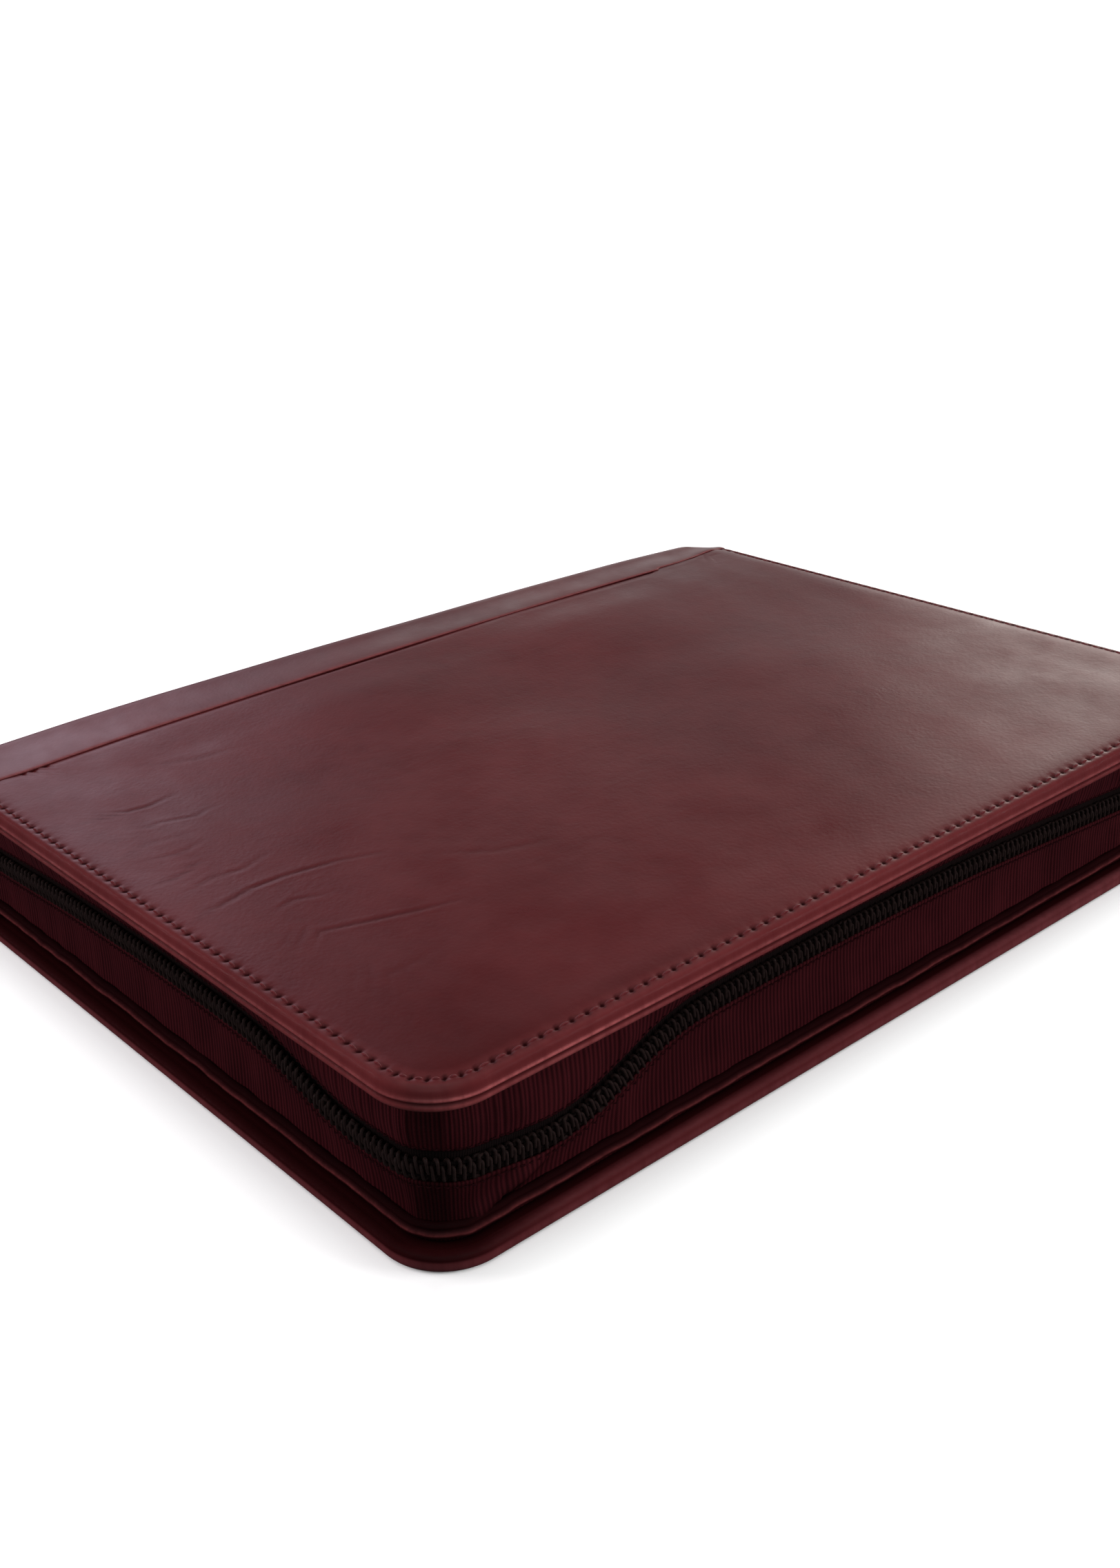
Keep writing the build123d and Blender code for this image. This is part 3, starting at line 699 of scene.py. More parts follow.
def panel(name, plan, profile, border, inner, surface, material, body, wear_and_highlight=None, shade=None, pits=None,
          turn=None, outward=1, tint=0):
    """A closed panel: a hidden face, a profiled edge, a border and a surface carried over a fine grid.

    profile lists (inset, height) from the hidden face out round the edge to the border; surface(x, y) gives
    the outer face's height; pits = (ring number, every, depth, darkness) pushes needle holes into that ring;
    tint is the darkness of the border and the surface."""
    points, rubbed_and_highlit, dark = [], [], []
    for k, (inset, height) in enumerate(profile):
        ring = plan.ring(inset)
        values = height, shade[k] if shade else 0, wear_and_highlight[k] if wear_and_highlight else 0
        z, shadow, level = (over(value, ring) for value in values)
        if pits and abs(k - pits[0]) <= 1:
            hole = np.arange(len(ring)) % pits[1] == 0
            share = 1.0 if k == pits[0] else 0.45
            z = z - outward * pits[2] * share * hole
            shadow = np.where(hole, pits[3] * share, shadow)
        if k >= len(profile) - 3:
            shadow = np.maximum(shadow, over(tint, ring))
        points.append(np.column_stack([ring, z]))
        rubbed_and_highlit.append(level)
        dark.append(shadow)
    xs, ys, walk = plan.grid(inner)
    target = np.array([(xs[i], ys[j]) for i, j in walk])
    edge = plan.ring(border)
    fade = (0.0, 0.3, 0.65, 1.0)
    for t in fade:
        ring = edge * (1 - t) + target * t
        points.append(np.column_stack([ring, over(surface, ring)]))
        dark.append(over(tint, ring))
    rings = len(profile) + len(fade)
    faces = grid_faces(rings, plan.count, closed=True)
    nx, ny = len(xs), len(ys)
    index = -np.ones((nx, ny), int)
    for k, (i, j) in enumerate(walk):
        index[i, j] = (rings - 1) * plan.count + k
    first = rings * plan.count
    index[1:-1, 1:-1] = first + np.arange((nx - 2) * (ny - 2)).reshape(nx - 2, ny - 2)
    inside = np.stack(np.meshgrid(xs[1:-1], ys[1:-1], indexing="ij"), 2).reshape(-1, 2)
    points.append(np.column_stack([inside, over(surface, inside)]))
    dark.append(over(tint, inside))
    points, rubbed_and_highlit, dark = (np.concatenate(a) for a in (points, rubbed_and_highlit, dark))
    rubbed_and_highlit = np.concatenate([rubbed_and_highlit, np.zeros(len(points) - len(rubbed_and_highlit))])
    quads = np.stack([index[:-1, :-1], index[1:, :-1], index[1:, 1:], index[:-1, 1:]], 2).reshape(-1, 4)
    faces += quads.tolist()
    faces.append(list(range(plan.count)))
    uv = points[:, :2].copy()
    if turn:
        points = turn(points)
    return face_outwards(mesh_object(name, points, faces, material, uv, rubbed_and_highlit, dark, body))


def stitch_row(name, plan, inset, every, height, material, body, radius=0.42, rise=0.3, outward=1, skip=None,
               turn=None):
    """Thread between the needle holes of a panel's ring."""
    ring = plan.ring(inset)[::every]
    points = np.column_stack([ring, over(height, ring)])
    following = np.roll(points, -1, axis=0)
    run = following - points
    length = np.linalg.norm(run, axis=1)
    keep = length > 1e-3
    if skip is not None:
        keep &= ~skip(points[:, 0], points[:, 1]) & ~skip(following[:, 0], following[:, 1])
    points, run, length = points[keep], run[keep], length[keep]
    unit = run / length[:, None]
    gap = np.minimum(0.75, length * 0.2)[:, None]
    normal = np.tile([0.0, 0.0, float(outward)], (len(points), 1))
    start, end = points + unit * gap, points + run - unit * gap
    if turn:
        start, end, normal = turn(start), turn(end), turn(normal) - turn(normal * 0)
    return capsules(name, start, end, radius, normal, material, body, rise=rise)


# ------------------------------------------------------------------ covers


def waves(x, y, seed, count, low, high, size):
    """Gentle undulation: a sum of broad sines with wavelengths between low and high."""
    draw = np.random.default_rng(seed)
    total = np.zeros_like(x)
    for _ in range(count):
        angle, length, phase = draw.uniform(0, math.pi), draw.uniform(low, high), draw.uniform(0, 2 * math.pi)
        total += np.sin(2 * math.pi * (x * math.cos(angle) + y * math.sin(angle)) / length + phase)
    return total * size / math.sqrt(count)


CREASES = [
    # (points, depth, width): fine shallow folds where the cover has flexed near its front side
    ([(30, -170), (26, -160), (23, -145), (23, -136), (26, -120), (31, -108)], 0.17, 0.8),
    ([(51, -155), (55, -144), (59, -134), (64, -120), (67, -110)], 0.15, 0.8),
    ([(-46, -160), (-44, -149), (-42, -139), (-44, -129)], 0.16, 0.8),
    ([(2, -163), (4, -157), (2, -151), (-4, -145)], 0.12, 0.8),
    ([(14, -160), (10, -150), (12, -141), (8, -130)], 0.09, 0.8),
    ([(-12, -158), (-8, -148), (-11, -139)], 0.09, 0.8),
    ([(-26, -152), (-30, -143), (-26, -133), (-29, -124)], 0.09, 0.8),
    ([(38, -150), (36, -141), (40, -132)], 0.08, 0.8),
    ([(-16, -166), (-20, -152), (-17, -138)], 0.05, 1.0),
    ([(78, -158), (84, -143), (82, -128)], 0.05, 1.2),
    ([(40, -100), (52, -86), (58, -68)], 0.05, 1.4),
    ([(-70, -128), (-62, -112), (-60, -96)], 0.05, 1.4),
]


def crease_depth(x, y):
    """How far the listed creases push the surface in, fading out at each crease's ends."""
    total = np.zeros_like(x)
    for points, depth, width in CREASES:
        points = np.array(points, float)
        span = run_length(points)
        fine = np.linspace(0, span[-1], 60)
        line = np.stack([np.interp(fine, span, points[:, k]) for k in (0, 1)], 1)
        near = (np.abs(x - line[:, 0].mean()) < 50) & (np.abs(y - line[:, 1].mean()) < 50)
        gap = np.hypot(x[near][:, None] - line[:, 0], y[near][:, None] - line[:, 1])
        fade = np.sin(math.pi * (gap.argmin(1) + 3) / 66)
        away = gap.min(1) / width
        total[near] += depth * fade * (np.exp(-away ** 2) - 0.35 * np.exp(-(away - 2.2) ** 2))
    return total


def edge_distance(x, y):
    """Inset of a plan point from the three open sides."""
    inside_x, inside_y = FORE - x, END - np.abs(y)
    corner = (x > CORNER_X) & (np.abs(y) > CORNER_Y)
    round_part = CORNER - np.hypot(x - CORNER_X, np.abs(y) - CORNER_Y)
    return np.where(corner, round_part, np.minimum(inside_x, inside_y))


WRAP_STEP = 1.6
SEAM_TOP = 50.5
SEAM_SHIFT, SEAM_SLANT = 4.0, 0.026
CROWN, EDGE_RISE, CENTRE_RISE = 49.9, 0.62, 0.45
SEAM_GROOVE = 0.25


def beyond(x, seam):
    """Share of the wrap's thickness that the cover's leather has risen to beyond a seam at some x."""
    return smoothstep(x, seam - 3.0, seam - 0.6)


def seam_line(y):
    """The wrap's sewn edge runs a little askew, further from the spine at the case's near end."""
    return SEAM + SEAM_SHIFT - SEAM_SLANT * y


def front_surface(x, y):
    """Height of the front cover's leather: a padded crown, flexed a little, pressed flat under the wrap."""
    d = edge_distance(x, y)
    crown = CROWN + EDGE_RISE * (1 - np.exp(-np.maximum(d - 3, 0) / 6.0))
    crown = crown + CENTRE_RISE * smoothstep(d, 10, 70)
    sewn = seam_line(y)
    seam = smoothstep(x, sewn - 1.0, sewn + 30.0)
    crown = crown * seam + (1 - seam) * np.minimum(crown, SEAM_TOP)
    ease = smoothstep(d, 8, 26) * smoothstep(x, sewn + 4, sewn + 24)
    flex = waves(x, y, 3, 5, 90, 190, 0.30) + waves(x, y, 5, 6, 28, 60, 0.045)
    creases = crease_depth(x, y) * smoothstep(d, 6, 14)
    under = WRAP_STEP * (1 - beyond(x, sewn + edge_slip(y, 0.0)))
    groove = SEAM_GROOVE * np.exp(-((x - sewn - 0.6) / 1.1) ** 2)
    bow = np.maximum(spine_bow(y), 0.0) * (1 - smoothstep(x, SEAM, SEAM + 80.0))
    return crown + ease * flex - creases - under - groove + bow


def crease_shade_and_dark_patches(x, y):
    """Painted shade in the creases; the top is also darkened over the near corner and in a strip by the fore
    edge.
    """
    creases = np.clip(crease_depth(x, y) / 0.16, 0, 1) * 0.55
    corner = 0.34 * np.exp(-(np.hypot(x - FORE + 12, y + END - 12) / 34.0) ** 2)
    fore = 0.22 * np.exp(-((y + 100) / 38.0) ** 2) * smoothstep(x, FORE - 14, FORE - 7)
    return np.maximum(creases, np.maximum(corner, fore))


def bead_wear_and_highlight(x, y):
    """The beads are rubbed pale, and their ridges carry a painted highlight line, strongest along the fore
    edge beside the near corner.
    """
    fore = smoothstep(x, FORE - 8, FORE - 3) * smoothstep(y, -172, -160) * (1 - smoothstep(y, -125, -85))
    return 0.60 + 0.75 * fore


def cover_plan():
    """Plan of either cover, with its hidden edge under the spine wrap."""
    radii = CORNER, CORNER, HIDDEN_CORNER, HIDDEN_CORNER
    return Plan((HIDDEN_END, -END), (FORE, END), radii, STITCH / NEEDLE_EVERY, NEEDLE_EVERY)


FRONT_PROFILE = [(6.9, 48.45), (6.9, 46.5), (6.9, 44.0), (6.6, 43.35), (5.5, 43.1), (3.5, 43.0), (2.0, 43.0),
                 (1.1, 43.05), (0.55, 43.2), (0.22, 43.5), (0.05, 43.95), (0.08, 44.4), (0.3, 44.75),
                 (0.62, 45.0), (0.75, 45.25), (0.5, 45.45), (0.12, 45.65), (-0.1, 45.95), (-0.1, 46.25),
                 (0.06, 46.5), (0.24, 46.8), (0.3, 47.4), (0.42, 48.1), (0.72, 48.8), (1.2, 49.35),
                 (1.8, 49.66), (2.6, 49.74), (3.4, 49.64), (4.1, 49.76), (4.8, 49.93), (6.5, 50.18),
                 (9.0, 50.35), (12.0, 50.42)]
# Wear on each profile ring; the ridge rings at about 46 mm also hold a painted highlight line.
FRONT_WEAR_AND_HIGHLIGHT = [0, 0, 0, 0, 0, 0, 0.12, 0.16, 0.22, 0.40, 0.44, 0.36, 0.15, 0, 0, 0.10, 0.50, 0.90, 0.90, 0.50,
              0.16, 0.10, 0.08, 0.10, 0.12, 0.10, 0.06, 0.03, 0.03, 0.02, 0, 0, 0]
FRONT_SHADE = [0, 0, 0, 0, 0, 0, 0, 0, 0, 0, 0, 0, 0.2, 0.55, 0.6, 0.4, 0.05, 0, 0, 0, 0, 0, 0, 0, 0, 0, 0,
               0, 0, 0, 0, 0, 0]
BEAD_RINGS = (9, 10, 11, 16, 17, 18, 19)
STITCH_RING = 27
FRONT_PITS = (STITCH_RING, NEEDLE_EVERY, 0.60, 1.6)


def add_front_cover(leather_look, thread_look):
    """Padded leather of the upper cover, with its doubled, stitched edge."""
    plan = cover_plan()
    # Rubbed wear along the beads, with a painted highlight on their ridges.
    wear_and_highlight = [w if k not in BEAD_RINGS else (lambda x, y, w=w: w * bead_wear_and_highlight(x, y))
            for k, w in enumerate(FRONT_WEAR_AND_HIGHLIGHT)]

    def lowered(height):
        """Heights near the edge, pressed down where the spine wrap lies over them."""
        drop = WRAP_STEP if height > 47 else 0.0
        return lambda x, y: height - drop * (1 - beyond(x, seam_line(y) + edge_slip(y, 0.0)))

    profile = [(d, lowered(z)) for d, z in FRONT_PROFILE]
    skin = panel("front_cover_skin", plan, profile, BORDER, INNER, front_surface, leather_look, "cover", wear_and_highlight,
                 FRONT_SHADE, FRONT_PITS, tint=crease_shade_and_dark_patches)
    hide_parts("front_cover_leather")
    inset, height = FRONT_PROFILE[STITCH_RING]
    thread = stitch_row("front_cover_stitches", plan, inset, NEEDLE_EVERY, height, thread_look, "cover", 0.32,
                        0.14, skip=lambda x, y: x < seam_line(y) + 2)


BACK_PROFILE = [(6.9, 1.5), (6.9, 3.0), (6.8, 4.1), (6.3, 4.4), (5.0, 4.45), (3.8, 4.35), (3.4, 4.28),
                (3.0, 4.4), (2.0, 4.55), (1.2, 4.52), (0.65, 4.36), (0.32, 4.02), (0.16, 3.5), (0.08, 2.9),
                (0.04, 2.2), (0.08, 1.5), (0.25, 0.85), (0.62, 0.4), (1.3, 0.16), (2.2, 0.05), (3.0, 0.10),
                (3.4, 0.25), (3.8, 0.10), (5.0, 0.03), (9.0, 0.0), (12.0, 0.0)]
# Wear on each profile ring; the rim rings from about 3 mm down to 1 mm also hold painted light, as if the
# edge caught light from the table.
BACK_WEAR_AND_RIM_LIGHT = [0, 0, 0, 0, 0, 0, 0.05, 0.12, 0.20, 0.26, 0.16, 0.06, 0.04, 0.20, 0.38, 0.42, 0.40, 0.3, 0.1,
             0.1, 0, 0, 0, 0, 0, 0]
BACK_SHADE = [0, 0, 0.9, 1.1, 1.2, 1.1, 0.6, 0.1, 0, 0, 0, 0, 0, 0, 0, 0, 0, 0.1, 0.3, 0, 0, 0, 0, 0, 0, 0]
RIM_RING = 13
PALE_RINGS = range(7, 17)
BACK_STITCH_RING = 21
BACK_PITS = (BACK_STITCH_RING, NEEDLE_EVERY, 0.45, 1.0)


def back_surface(x, y):
    """Underside of the back cover, resting flat with a few low hollows."""
    return 0.04 + np.abs(waves(x, y, 11, 5, 50, 140, 0.05)) * smoothstep(edge_distance(x, y), 10, 40)


def front_edge_darkening(y):
    """The lower edge's upper rings are darkened along the front side and round the near corner."""
    return 0.93 * (1 - smoothstep(y, -END + 5, -END + 45))


def fore_edge_painted_light(y):
    """Painted light: the lower edge is painted paler along the fore edge, away from the near corner."""
    return 0.24 * smoothstep(y, -60, 90)


def add_back_cover(leather_look, thread_look):
    """Leather of the cover that the case lies on."""
    plan = cover_plan()

    def lifted(height):
        """Heights of the underside, tucked in where the spine wrap lies over them."""
        return lambda x, y: height + (WRAP_STEP if height < 1.2 else 0.0) * (1 - beyond(x, SEAM))

    profile = [(6.9, 1.55)] + [(d, lifted(z)) for d, z in BACK_PROFILE[1:]]
    under = lambda x, y: back_surface(x, y) + WRAP_STEP * (1 - beyond(x, SEAM))
    # The brim's upper rings are darkened along the front side and round the near corner.
    shade = [(lambda x, y, v=v: np.maximum(v, front_edge_darkening(y))) if k < RIM_RING else v
             for k, v in enumerate(BACK_SHADE)]
    # Painted light: the pale rings are painted paler along the fore edge.
    wear_and_highlight = [(lambda x, y, w=w: w + fore_edge_painted_light(y)) if k in PALE_RINGS else w for k, w in enumerate(BACK_WEAR_AND_RIM_LIGHT)]
    skin = panel("back_cover_skin", plan, profile, BORDER, INNER, under, leather_look, "base", wear_and_highlight, shade,
                 BACK_PITS, outward=-1)
    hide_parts("back_cover_leather")
    inset, height = BACK_PROFILE[BACK_STITCH_RING]
    thread = stitch_row("back_cover_stitches", plan, inset, NEEDLE_EVERY, height, thread_look, "base", 0.28,
                        0.02, -1, skip=lambda x, y: x < SEAM + 2)


# ------------------------------------------------------------------ spine wrap

WRAP_SKIN = 1.3
WRAP_EDGE = 50.75
WRAP_BEND = 49.2
END_ROUND_EDGE = 2.2
END_DEPTH = 7.0
END_ROUND_TOP = 30.0
END_ROUND_SPINE = 18.0
END_REACH = 12.2
END_STEPS = 9
SPINE_BOW, END_SINK, EDGE_DIP = 2.0, 0.6, 0.95
TAB_SLIP, END_SLIP = 1.5, 3.6


def wrap_path(upper):
    """Outer section of the wrap from its seam to the middle of the spine.

    Each row is a point, its inward normal, the end's radius and depth, and the corner's radius in plan."""
    rows = []
    flat = np.concatenate([[SEAM, SEAM - 0.2, SEAM - 0.6], np.linspace(SEAM - 1.4, SPINE + FOLD, 14)])
    raised, bend = (WRAP_EDGE, WRAP_BEND) if upper else (TOP, TOP)
    for x in flat:
        edge = max(0.0, 1 - (SEAM - x) / 0.6)
        top = raised + (bend - raised) * smoothstep(SEAM - x, 0, SEAM - SPINE - FOLD)
        rows.append((x, top - 0.25 * edge ** 2, 0, -1, END_ROUND_EDGE, END_DEPTH, END_ROUND_TOP))
    middle = TOP - FOLD
    lift = bend - TOP
    for a in np.linspace(0, 90, 13)[1:]:
        r = math.radians(a)
        grow = a / 90
        end_radius = END_ROUND_EDGE + (END_ROUND_SPINE - END_ROUND_EDGE) * grow ** 1.3
        end_depth = END_DEPTH + (END_ROUND_SPINE + 0.4 - END_DEPTH) * grow
        plan_radius = END_ROUND_TOP + (END_ROUND_SPINE - END_ROUND_TOP) * grow
        rows.append((SPINE + FOLD - FOLD * math.sin(r), middle + lift * (1 - grow) + FOLD * math.cos(r),
                     math.sin(r), -math.cos(r), end_radius, end_depth, plan_radius))
    for z in list(np.linspace(middle - 1.4, TOP / 2 + 0.8, 8)) + [TOP / 2 + 0.12, TOP / 2]:
        rows.append((SPINE, z, 1, 0, END_ROUND_SPINE, END_ROUND_SPINE + 0.4, END_ROUND_SPINE))
    rows = np.array(rows, float)
    if not upper:
        rows[:, 1] = TOP - rows[:, 1]
        rows[:, 3] *= -1
    return rows


def corner_cut(x, nx, radius, plan_radius):
    """How far a row of the wrap stops short of the case's end, where the spine's corner is rounded."""
    reach = min(x - SPINE + nx * radius, plan_radius)
    return plan_radius - math.sqrt(max(plan_radius ** 2 - (plan_radius - reach) ** 2, 0.0))


def spine_bow(y):
    """The soft spine swells a little along its middle and sinks at its ends."""
    return SPINE_BOW * (1 - (y / END) ** 2) - END_SINK * smoothstep(abs(y), END - 60, END)


def edge_slip(y, s):
    """How far the wrap's sewn edge has pulled back near the far end, where a small tab has come loose."""
    tab = -TAB_SLIP * smoothstep(y, 125.4, 127.0) * math.exp(-(s / 5.0) ** 2)
    return tab - END_SLIP * smoothstep(y, 132, 172) * math.exp(-(s / 9.0) ** 2)


def add_wrap(name, upper, material):
    """Half of the leather that wraps the spine, with its ends turned in round the covers' edges."""
    path = wrap_path(upper)
    middle = np.linspace(-1, 1, 191)[1:-1]
    points, uv, wear_and_highlight, shade = [], [], [], []
    for (x, z, nx, nz, radius, depth, plan_radius), s in zip(path, run_length(path[:, :2])):
        end = END + 0.12 - corner_cut(x, nx, radius, plan_radius)
        angles = np.linspace(0, math.acos(max(0.0, 1 - END_REACH / radius)), END_STEPS + 1)
        turn = [(end - radius + radius * math.sin(a), radius * (1 - math.cos(a))) for a in angles]
        rim, h = turn[-1]
        deepest = max(min(max(depth, radius + 0.4), END_REACH), h + 0.2)
        turn += [(rim, z) for z in np.linspace(h, deepest, 5)[1:]]
        turn += [(rim - 0.5, deepest + 0.35), (rim - 2.2, deepest + 0.4)]
        row = [(-y, h) for y, h in turn[::-1]] + [(t * (end - radius), 0.0) for t in middle] + turn
        for (y, h), across in zip(row, run_length(row)):
            sag = 0.08 * math.sin(y / 31.0 + 1.0) + 0.05 * math.sin(y / 13.0) if h == 0 else 0.0
            sag = (sag if upper else abs(sag)) * (smoothstep(s, 0, 8) if s < 40 else 1.0)
            askew = (seam_line(y) - SEAM) * max(0.0, 1 - s / (SEAM - SPINE - FOLD))
            slip = edge_slip(y, s) + askew if upper else 0.0
            bow = spine_bow(y)
            swell = max(bow, 0.0) + min(bow, 0.0) * smoothstep(s, 2, 14)
            swell -= EDGE_DIP * smoothstep(abs(y), END - 11, END - 2) * math.exp(-(s / 10.0) ** 2)
            swell *= smoothstep(z, TOP / 2, TOP - FOLD) if upper else 0.0
            points.append((x + slip + nx * (h + sag), y, z + swell + nz * (h + sag)))
            uv.append((s + 400, across))
            wear_and_highlight.append(0.45 * math.exp(-((s - 0.5) / 0.7) ** 2)
                        + 0.35 * math.exp(-((h - radius * 0.5) / 1.5) ** 2) * (h > 0))
            shade.append(0.8 * (s < 0.05))
    rows = len(path)
    columns = len(points) // rows
    faces = grid_faces(rows, columns)
    wrap = mesh_object(name, points, faces, material, uv, wear_and_highlight, shade)
    solid = wrap.modifiers.new("skin", "SOLIDIFY")
    solid.thickness = WRAP_SKIN * MM
    solid.offset = 1 if upper else -1
    solid.use_even_offset = False
    apply_modifiers(wrap)
    face_outwards(wrap)
    return wrap


def add_spine(leather_look):
    """Both halves of the wrap; each is shaped round the spine's edge where its cover meets the spine."""
    upper = add_wrap("spine_wrap_upper", True, leather_look)
    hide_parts("front_wrap_flap", "front_fold_leather", "spine_leather")
    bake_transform(upper)
    lower = add_wrap("spine_wrap_lower", False, leather_look)
    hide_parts("back_wrap_flap", "back_fold_leather")
    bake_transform(lower)


# ------------------------------------------------------------------ gussets, welt and zip


def pleats(along, seed, length, spread):
    """Small irregular ripples along a band, a few to the length."""
    draw = np.random.default_rng(seed)
    total = np.zeros_like(along)
    for _ in range(7):
        total += np.sin(2 * math.pi * along / (length * draw.uniform(1 - spread, 1 + spread))
                        + draw.uniform(0, 6.28))
    return total / math.sqrt(7)


def corner_fold(along, t):
    """A slanting fold in the lower wall beside the near corner, soft above its crest and sharp below it."""
    share = (along - FRONT_MIDDLE - 8) / 26
    above = t - (0.12 + 0.72 * share)
    ridge = np.exp(-(above / np.where(above > 0, 0.24, 0.07)) ** 2)
    return ridge * smoothstep(share, -0.15, 0.25) * (1 - smoothstep(share, 0.75, 1.15))


WALL = 0.8
LIP_TUCK = 1.0
ZIP_BACK = 0.35
UPPER_INSET, UPPER_BULGE = 5.6, 0.9
LOWER_INSET, LOWER_BULGE = 5.9, 0.55
FOLD_DEPTH = 1.5


def doubled(values, gap=0.0):
    """A wall's outer side followed by its inner side, a gap further in."""
    return np.concatenate([values, values[:, ::-1] + gap], 1)


def add_gussets(fabric_look):
    """Fabric walls above and below the zip, gathered a little where the zip curves."""
    route = Route(1.0)
    along = route.along
    height, inset = zip_height(along)[:, None], zip_inset(along)[:, None]
    corner = np.exp(-((along - FRONT_MIDDLE) / 46) ** 2) + np.exp(-((along - BACK_MIDDLE) / 46) ** 2)
    fine, broad = pleats(along, 21, 2.9, 0.35)[:, None], pleats(along, 22, 17.0, 0.4)[:, None]
    gather = (0.10 + 0.20 * corner)[:, None]
    t = np.concatenate([[0, 0.04], np.linspace(0.1, 0.9, 15), [0.96, 1.0]])[None, :]
    bulge = np.sin(math.pi * t) ** 0.8
    # upper wall: from the zip up into the lip
    low, high = height + HEM_ABOVE, LIP + LIP_TUCK
    z = low + (high - low) * t
    d = inset + ZIP_BACK + (UPPER_INSET - inset - ZIP_BACK) * smoothstep(t, 0.0, 1.0) - UPPER_BULGE * bulge
    d = d + gather * fine * np.clip(np.sin(math.pi * np.clip(t + 0.12, 0, 1)), 0, 1) + 0.25 * broad * bulge
    upper = sweep("upper_gusset_wall", route, doubled(d, WALL), doubled(z), fabric_look, "cover")
    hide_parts("upper_gusset")
    # lower wall: from the welt up to the zip
    low, high = BRIM, height - HEM_BELOW
    z = low + (high - low) * t
    d = LOWER_INSET + (inset + ZIP_BACK - LOWER_INSET) * smoothstep(t, 0.25, 1.0) + LOWER_BULGE * bulge
    d = d + 0.5 * gather * fine * bulge + 0.22 * broad * bulge - FOLD_DEPTH * corner_fold(along[:, None], t)
    # Painted shade on the lower wall: darker near the near corner and towards its foot, a painted shadow just
    # below the corner fold, and lighter on the fold's crest.
    dim = 0.55 * np.exp(-((along - FRONT_MIDDLE - 4) / 26) ** 2)[:, None] * (1 - 0.6 * t) + 0.10
    fold_shadow, fold_light = corner_fold(along[:, None], t + 0.14), corner_fold(along[:, None], t - 0.02)
    dim = np.clip(dim + 0.8 * fold_shadow - 0.5 * fold_light, 0, 1)
    lower = sweep("lower_gusset_wall", route, doubled(d, WALL), doubled(z), fabric_look, "base",
                  shade=doubled(dim))
    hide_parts("lower_gusset")


WELT = [(6.6, 4.7), (6.1, 5.1), (5.4, 5.7), (4.7, 6.15), (4.15, 6.55), (3.85, 7.05), (3.85, 7.55),
        (4.15, 7.95), (4.55, 8.2), (4.8, 8.5), (4.62, 8.85), (4.65, 9.25), (4.95, 9.65), (5.4, 9.9),
        (5.9, 9.95), (6.4, 9.8), (6.75, 9.2), (6.8, 7.0)]


def add_welt(welt_look):
    """Doubled welt that binds the lower wall to the back cover's brim."""
    route = Route(1.5)
    section = np.array(WELT)
    lump = (pleats(route.along, 31, 9.0, 0.4) * 0.07 + pleats(route.along, 32, 30.0, 0.4) * 0.10)[:, None]
    # Painted highlight along the welt's crest, through its wear value, and painted shade over the rest of the
    # welt.
    crest = np.exp(-((section[:, 1] - 7.6) / 0.45) ** 2)
    wear_and_highlight = 0.8 * crest + 0.1 * np.exp(-((section[:, 1] - 9.3) / 0.4) ** 2)
    welt = sweep("lower_welt_band", route, section[:, 0][None, :] + lump, section[:, 1][None, :] + 0.5 * lump,
                 welt_look, "base", wear_and_highlight=wear_and_highlight[None, :], shade=0.75 * (1 - crest)[None, :])
    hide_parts("lower_welt")


def add_zip(coil_look, tape_look, thread_look):
    """Both halves of the coil zip, their tapes, and the rows that sew them to the walls."""
    line = ZipLine()
    for word, side, body in (("upper", 1, "cover"), ("lower", -1, "base")):
        wire = coil(f"{word}_zip_coil_wire", line, side, coil_look, body)
        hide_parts(f"{word}_zip_coil")
        tape = zip_tape(f"{word}_zip_tape_band", line, side, tape_look, body)
        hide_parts(f"{word}_zip_tape")
        point, _, out, up = line.at(np.arange(2.0, line.length[-1] - 2, 1.5))
        core = tube(f"{word}_zip_core", point + up * (side * CORE_OFFSET) - out * 0.05, CORE_RADIUS,
                    tape_look, body)
        point, run, out, up = line.at(np.arange(3.0, line.length[-1] - 4, COIL_PITCH))
        hem = HEM_ABOVE if side > 0 else HEM_BELOW
        start = point + up * (side * (hem + SEWN_BEYOND)) + out * 0.1 + run * 0.45
        thread = capsules(f"{word}_zip_stitches", start, start + run * ZIP_STITCH, ZIP_THREAD, out,
                          thread_look, body, rise=0.25, segments=4)


def add_zip_tabs(leather_look, thread_look):
    """Leather tabs over the two ends of the zip, each with a little box of stitching."""
    for node in ("zip_start_tab", "zip_end_tab"):
        low, high = node_box(node)
        side = -1 if high[1] < 0 else 1
        plan = Plan((low[0], low[2]), (high[0], high[2]), (2, 2, 1.2, 1.2), 1.1)
        outer = high[1] if side > 0 else low[1]

        def turn(points, outer=outer, side=side):
            """Stands a flat panel up on the case's end: its height counts outwards from the outer face."""
            return np.column_stack([points[:, 0], outer + side * points[:, 2], points[:, 1]])

        profile = [(0.3, -1.0), (0.05, -0.85), (0.0, -0.5), (0.1, -0.2), (0.4, 0.0), (0.9, 0.0)]
        tab = panel(f"{node}_leather", plan, profile, 1.3, 1.9, 0.05, leather_look, "base",
                    [0, 0, 0.2, 0.5, 0.3, 0], turn=turn)
        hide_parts(node)
        thread = stitch_row(f"{node}_stitches", plan, 1.1, 2, 0.05, thread_look, "base", 0.2, 0.15, turn=turn)


# ------------------------------------------------------------------ inside


LINING_CORNER = CORNER - 7.2
CEILING = 43.0


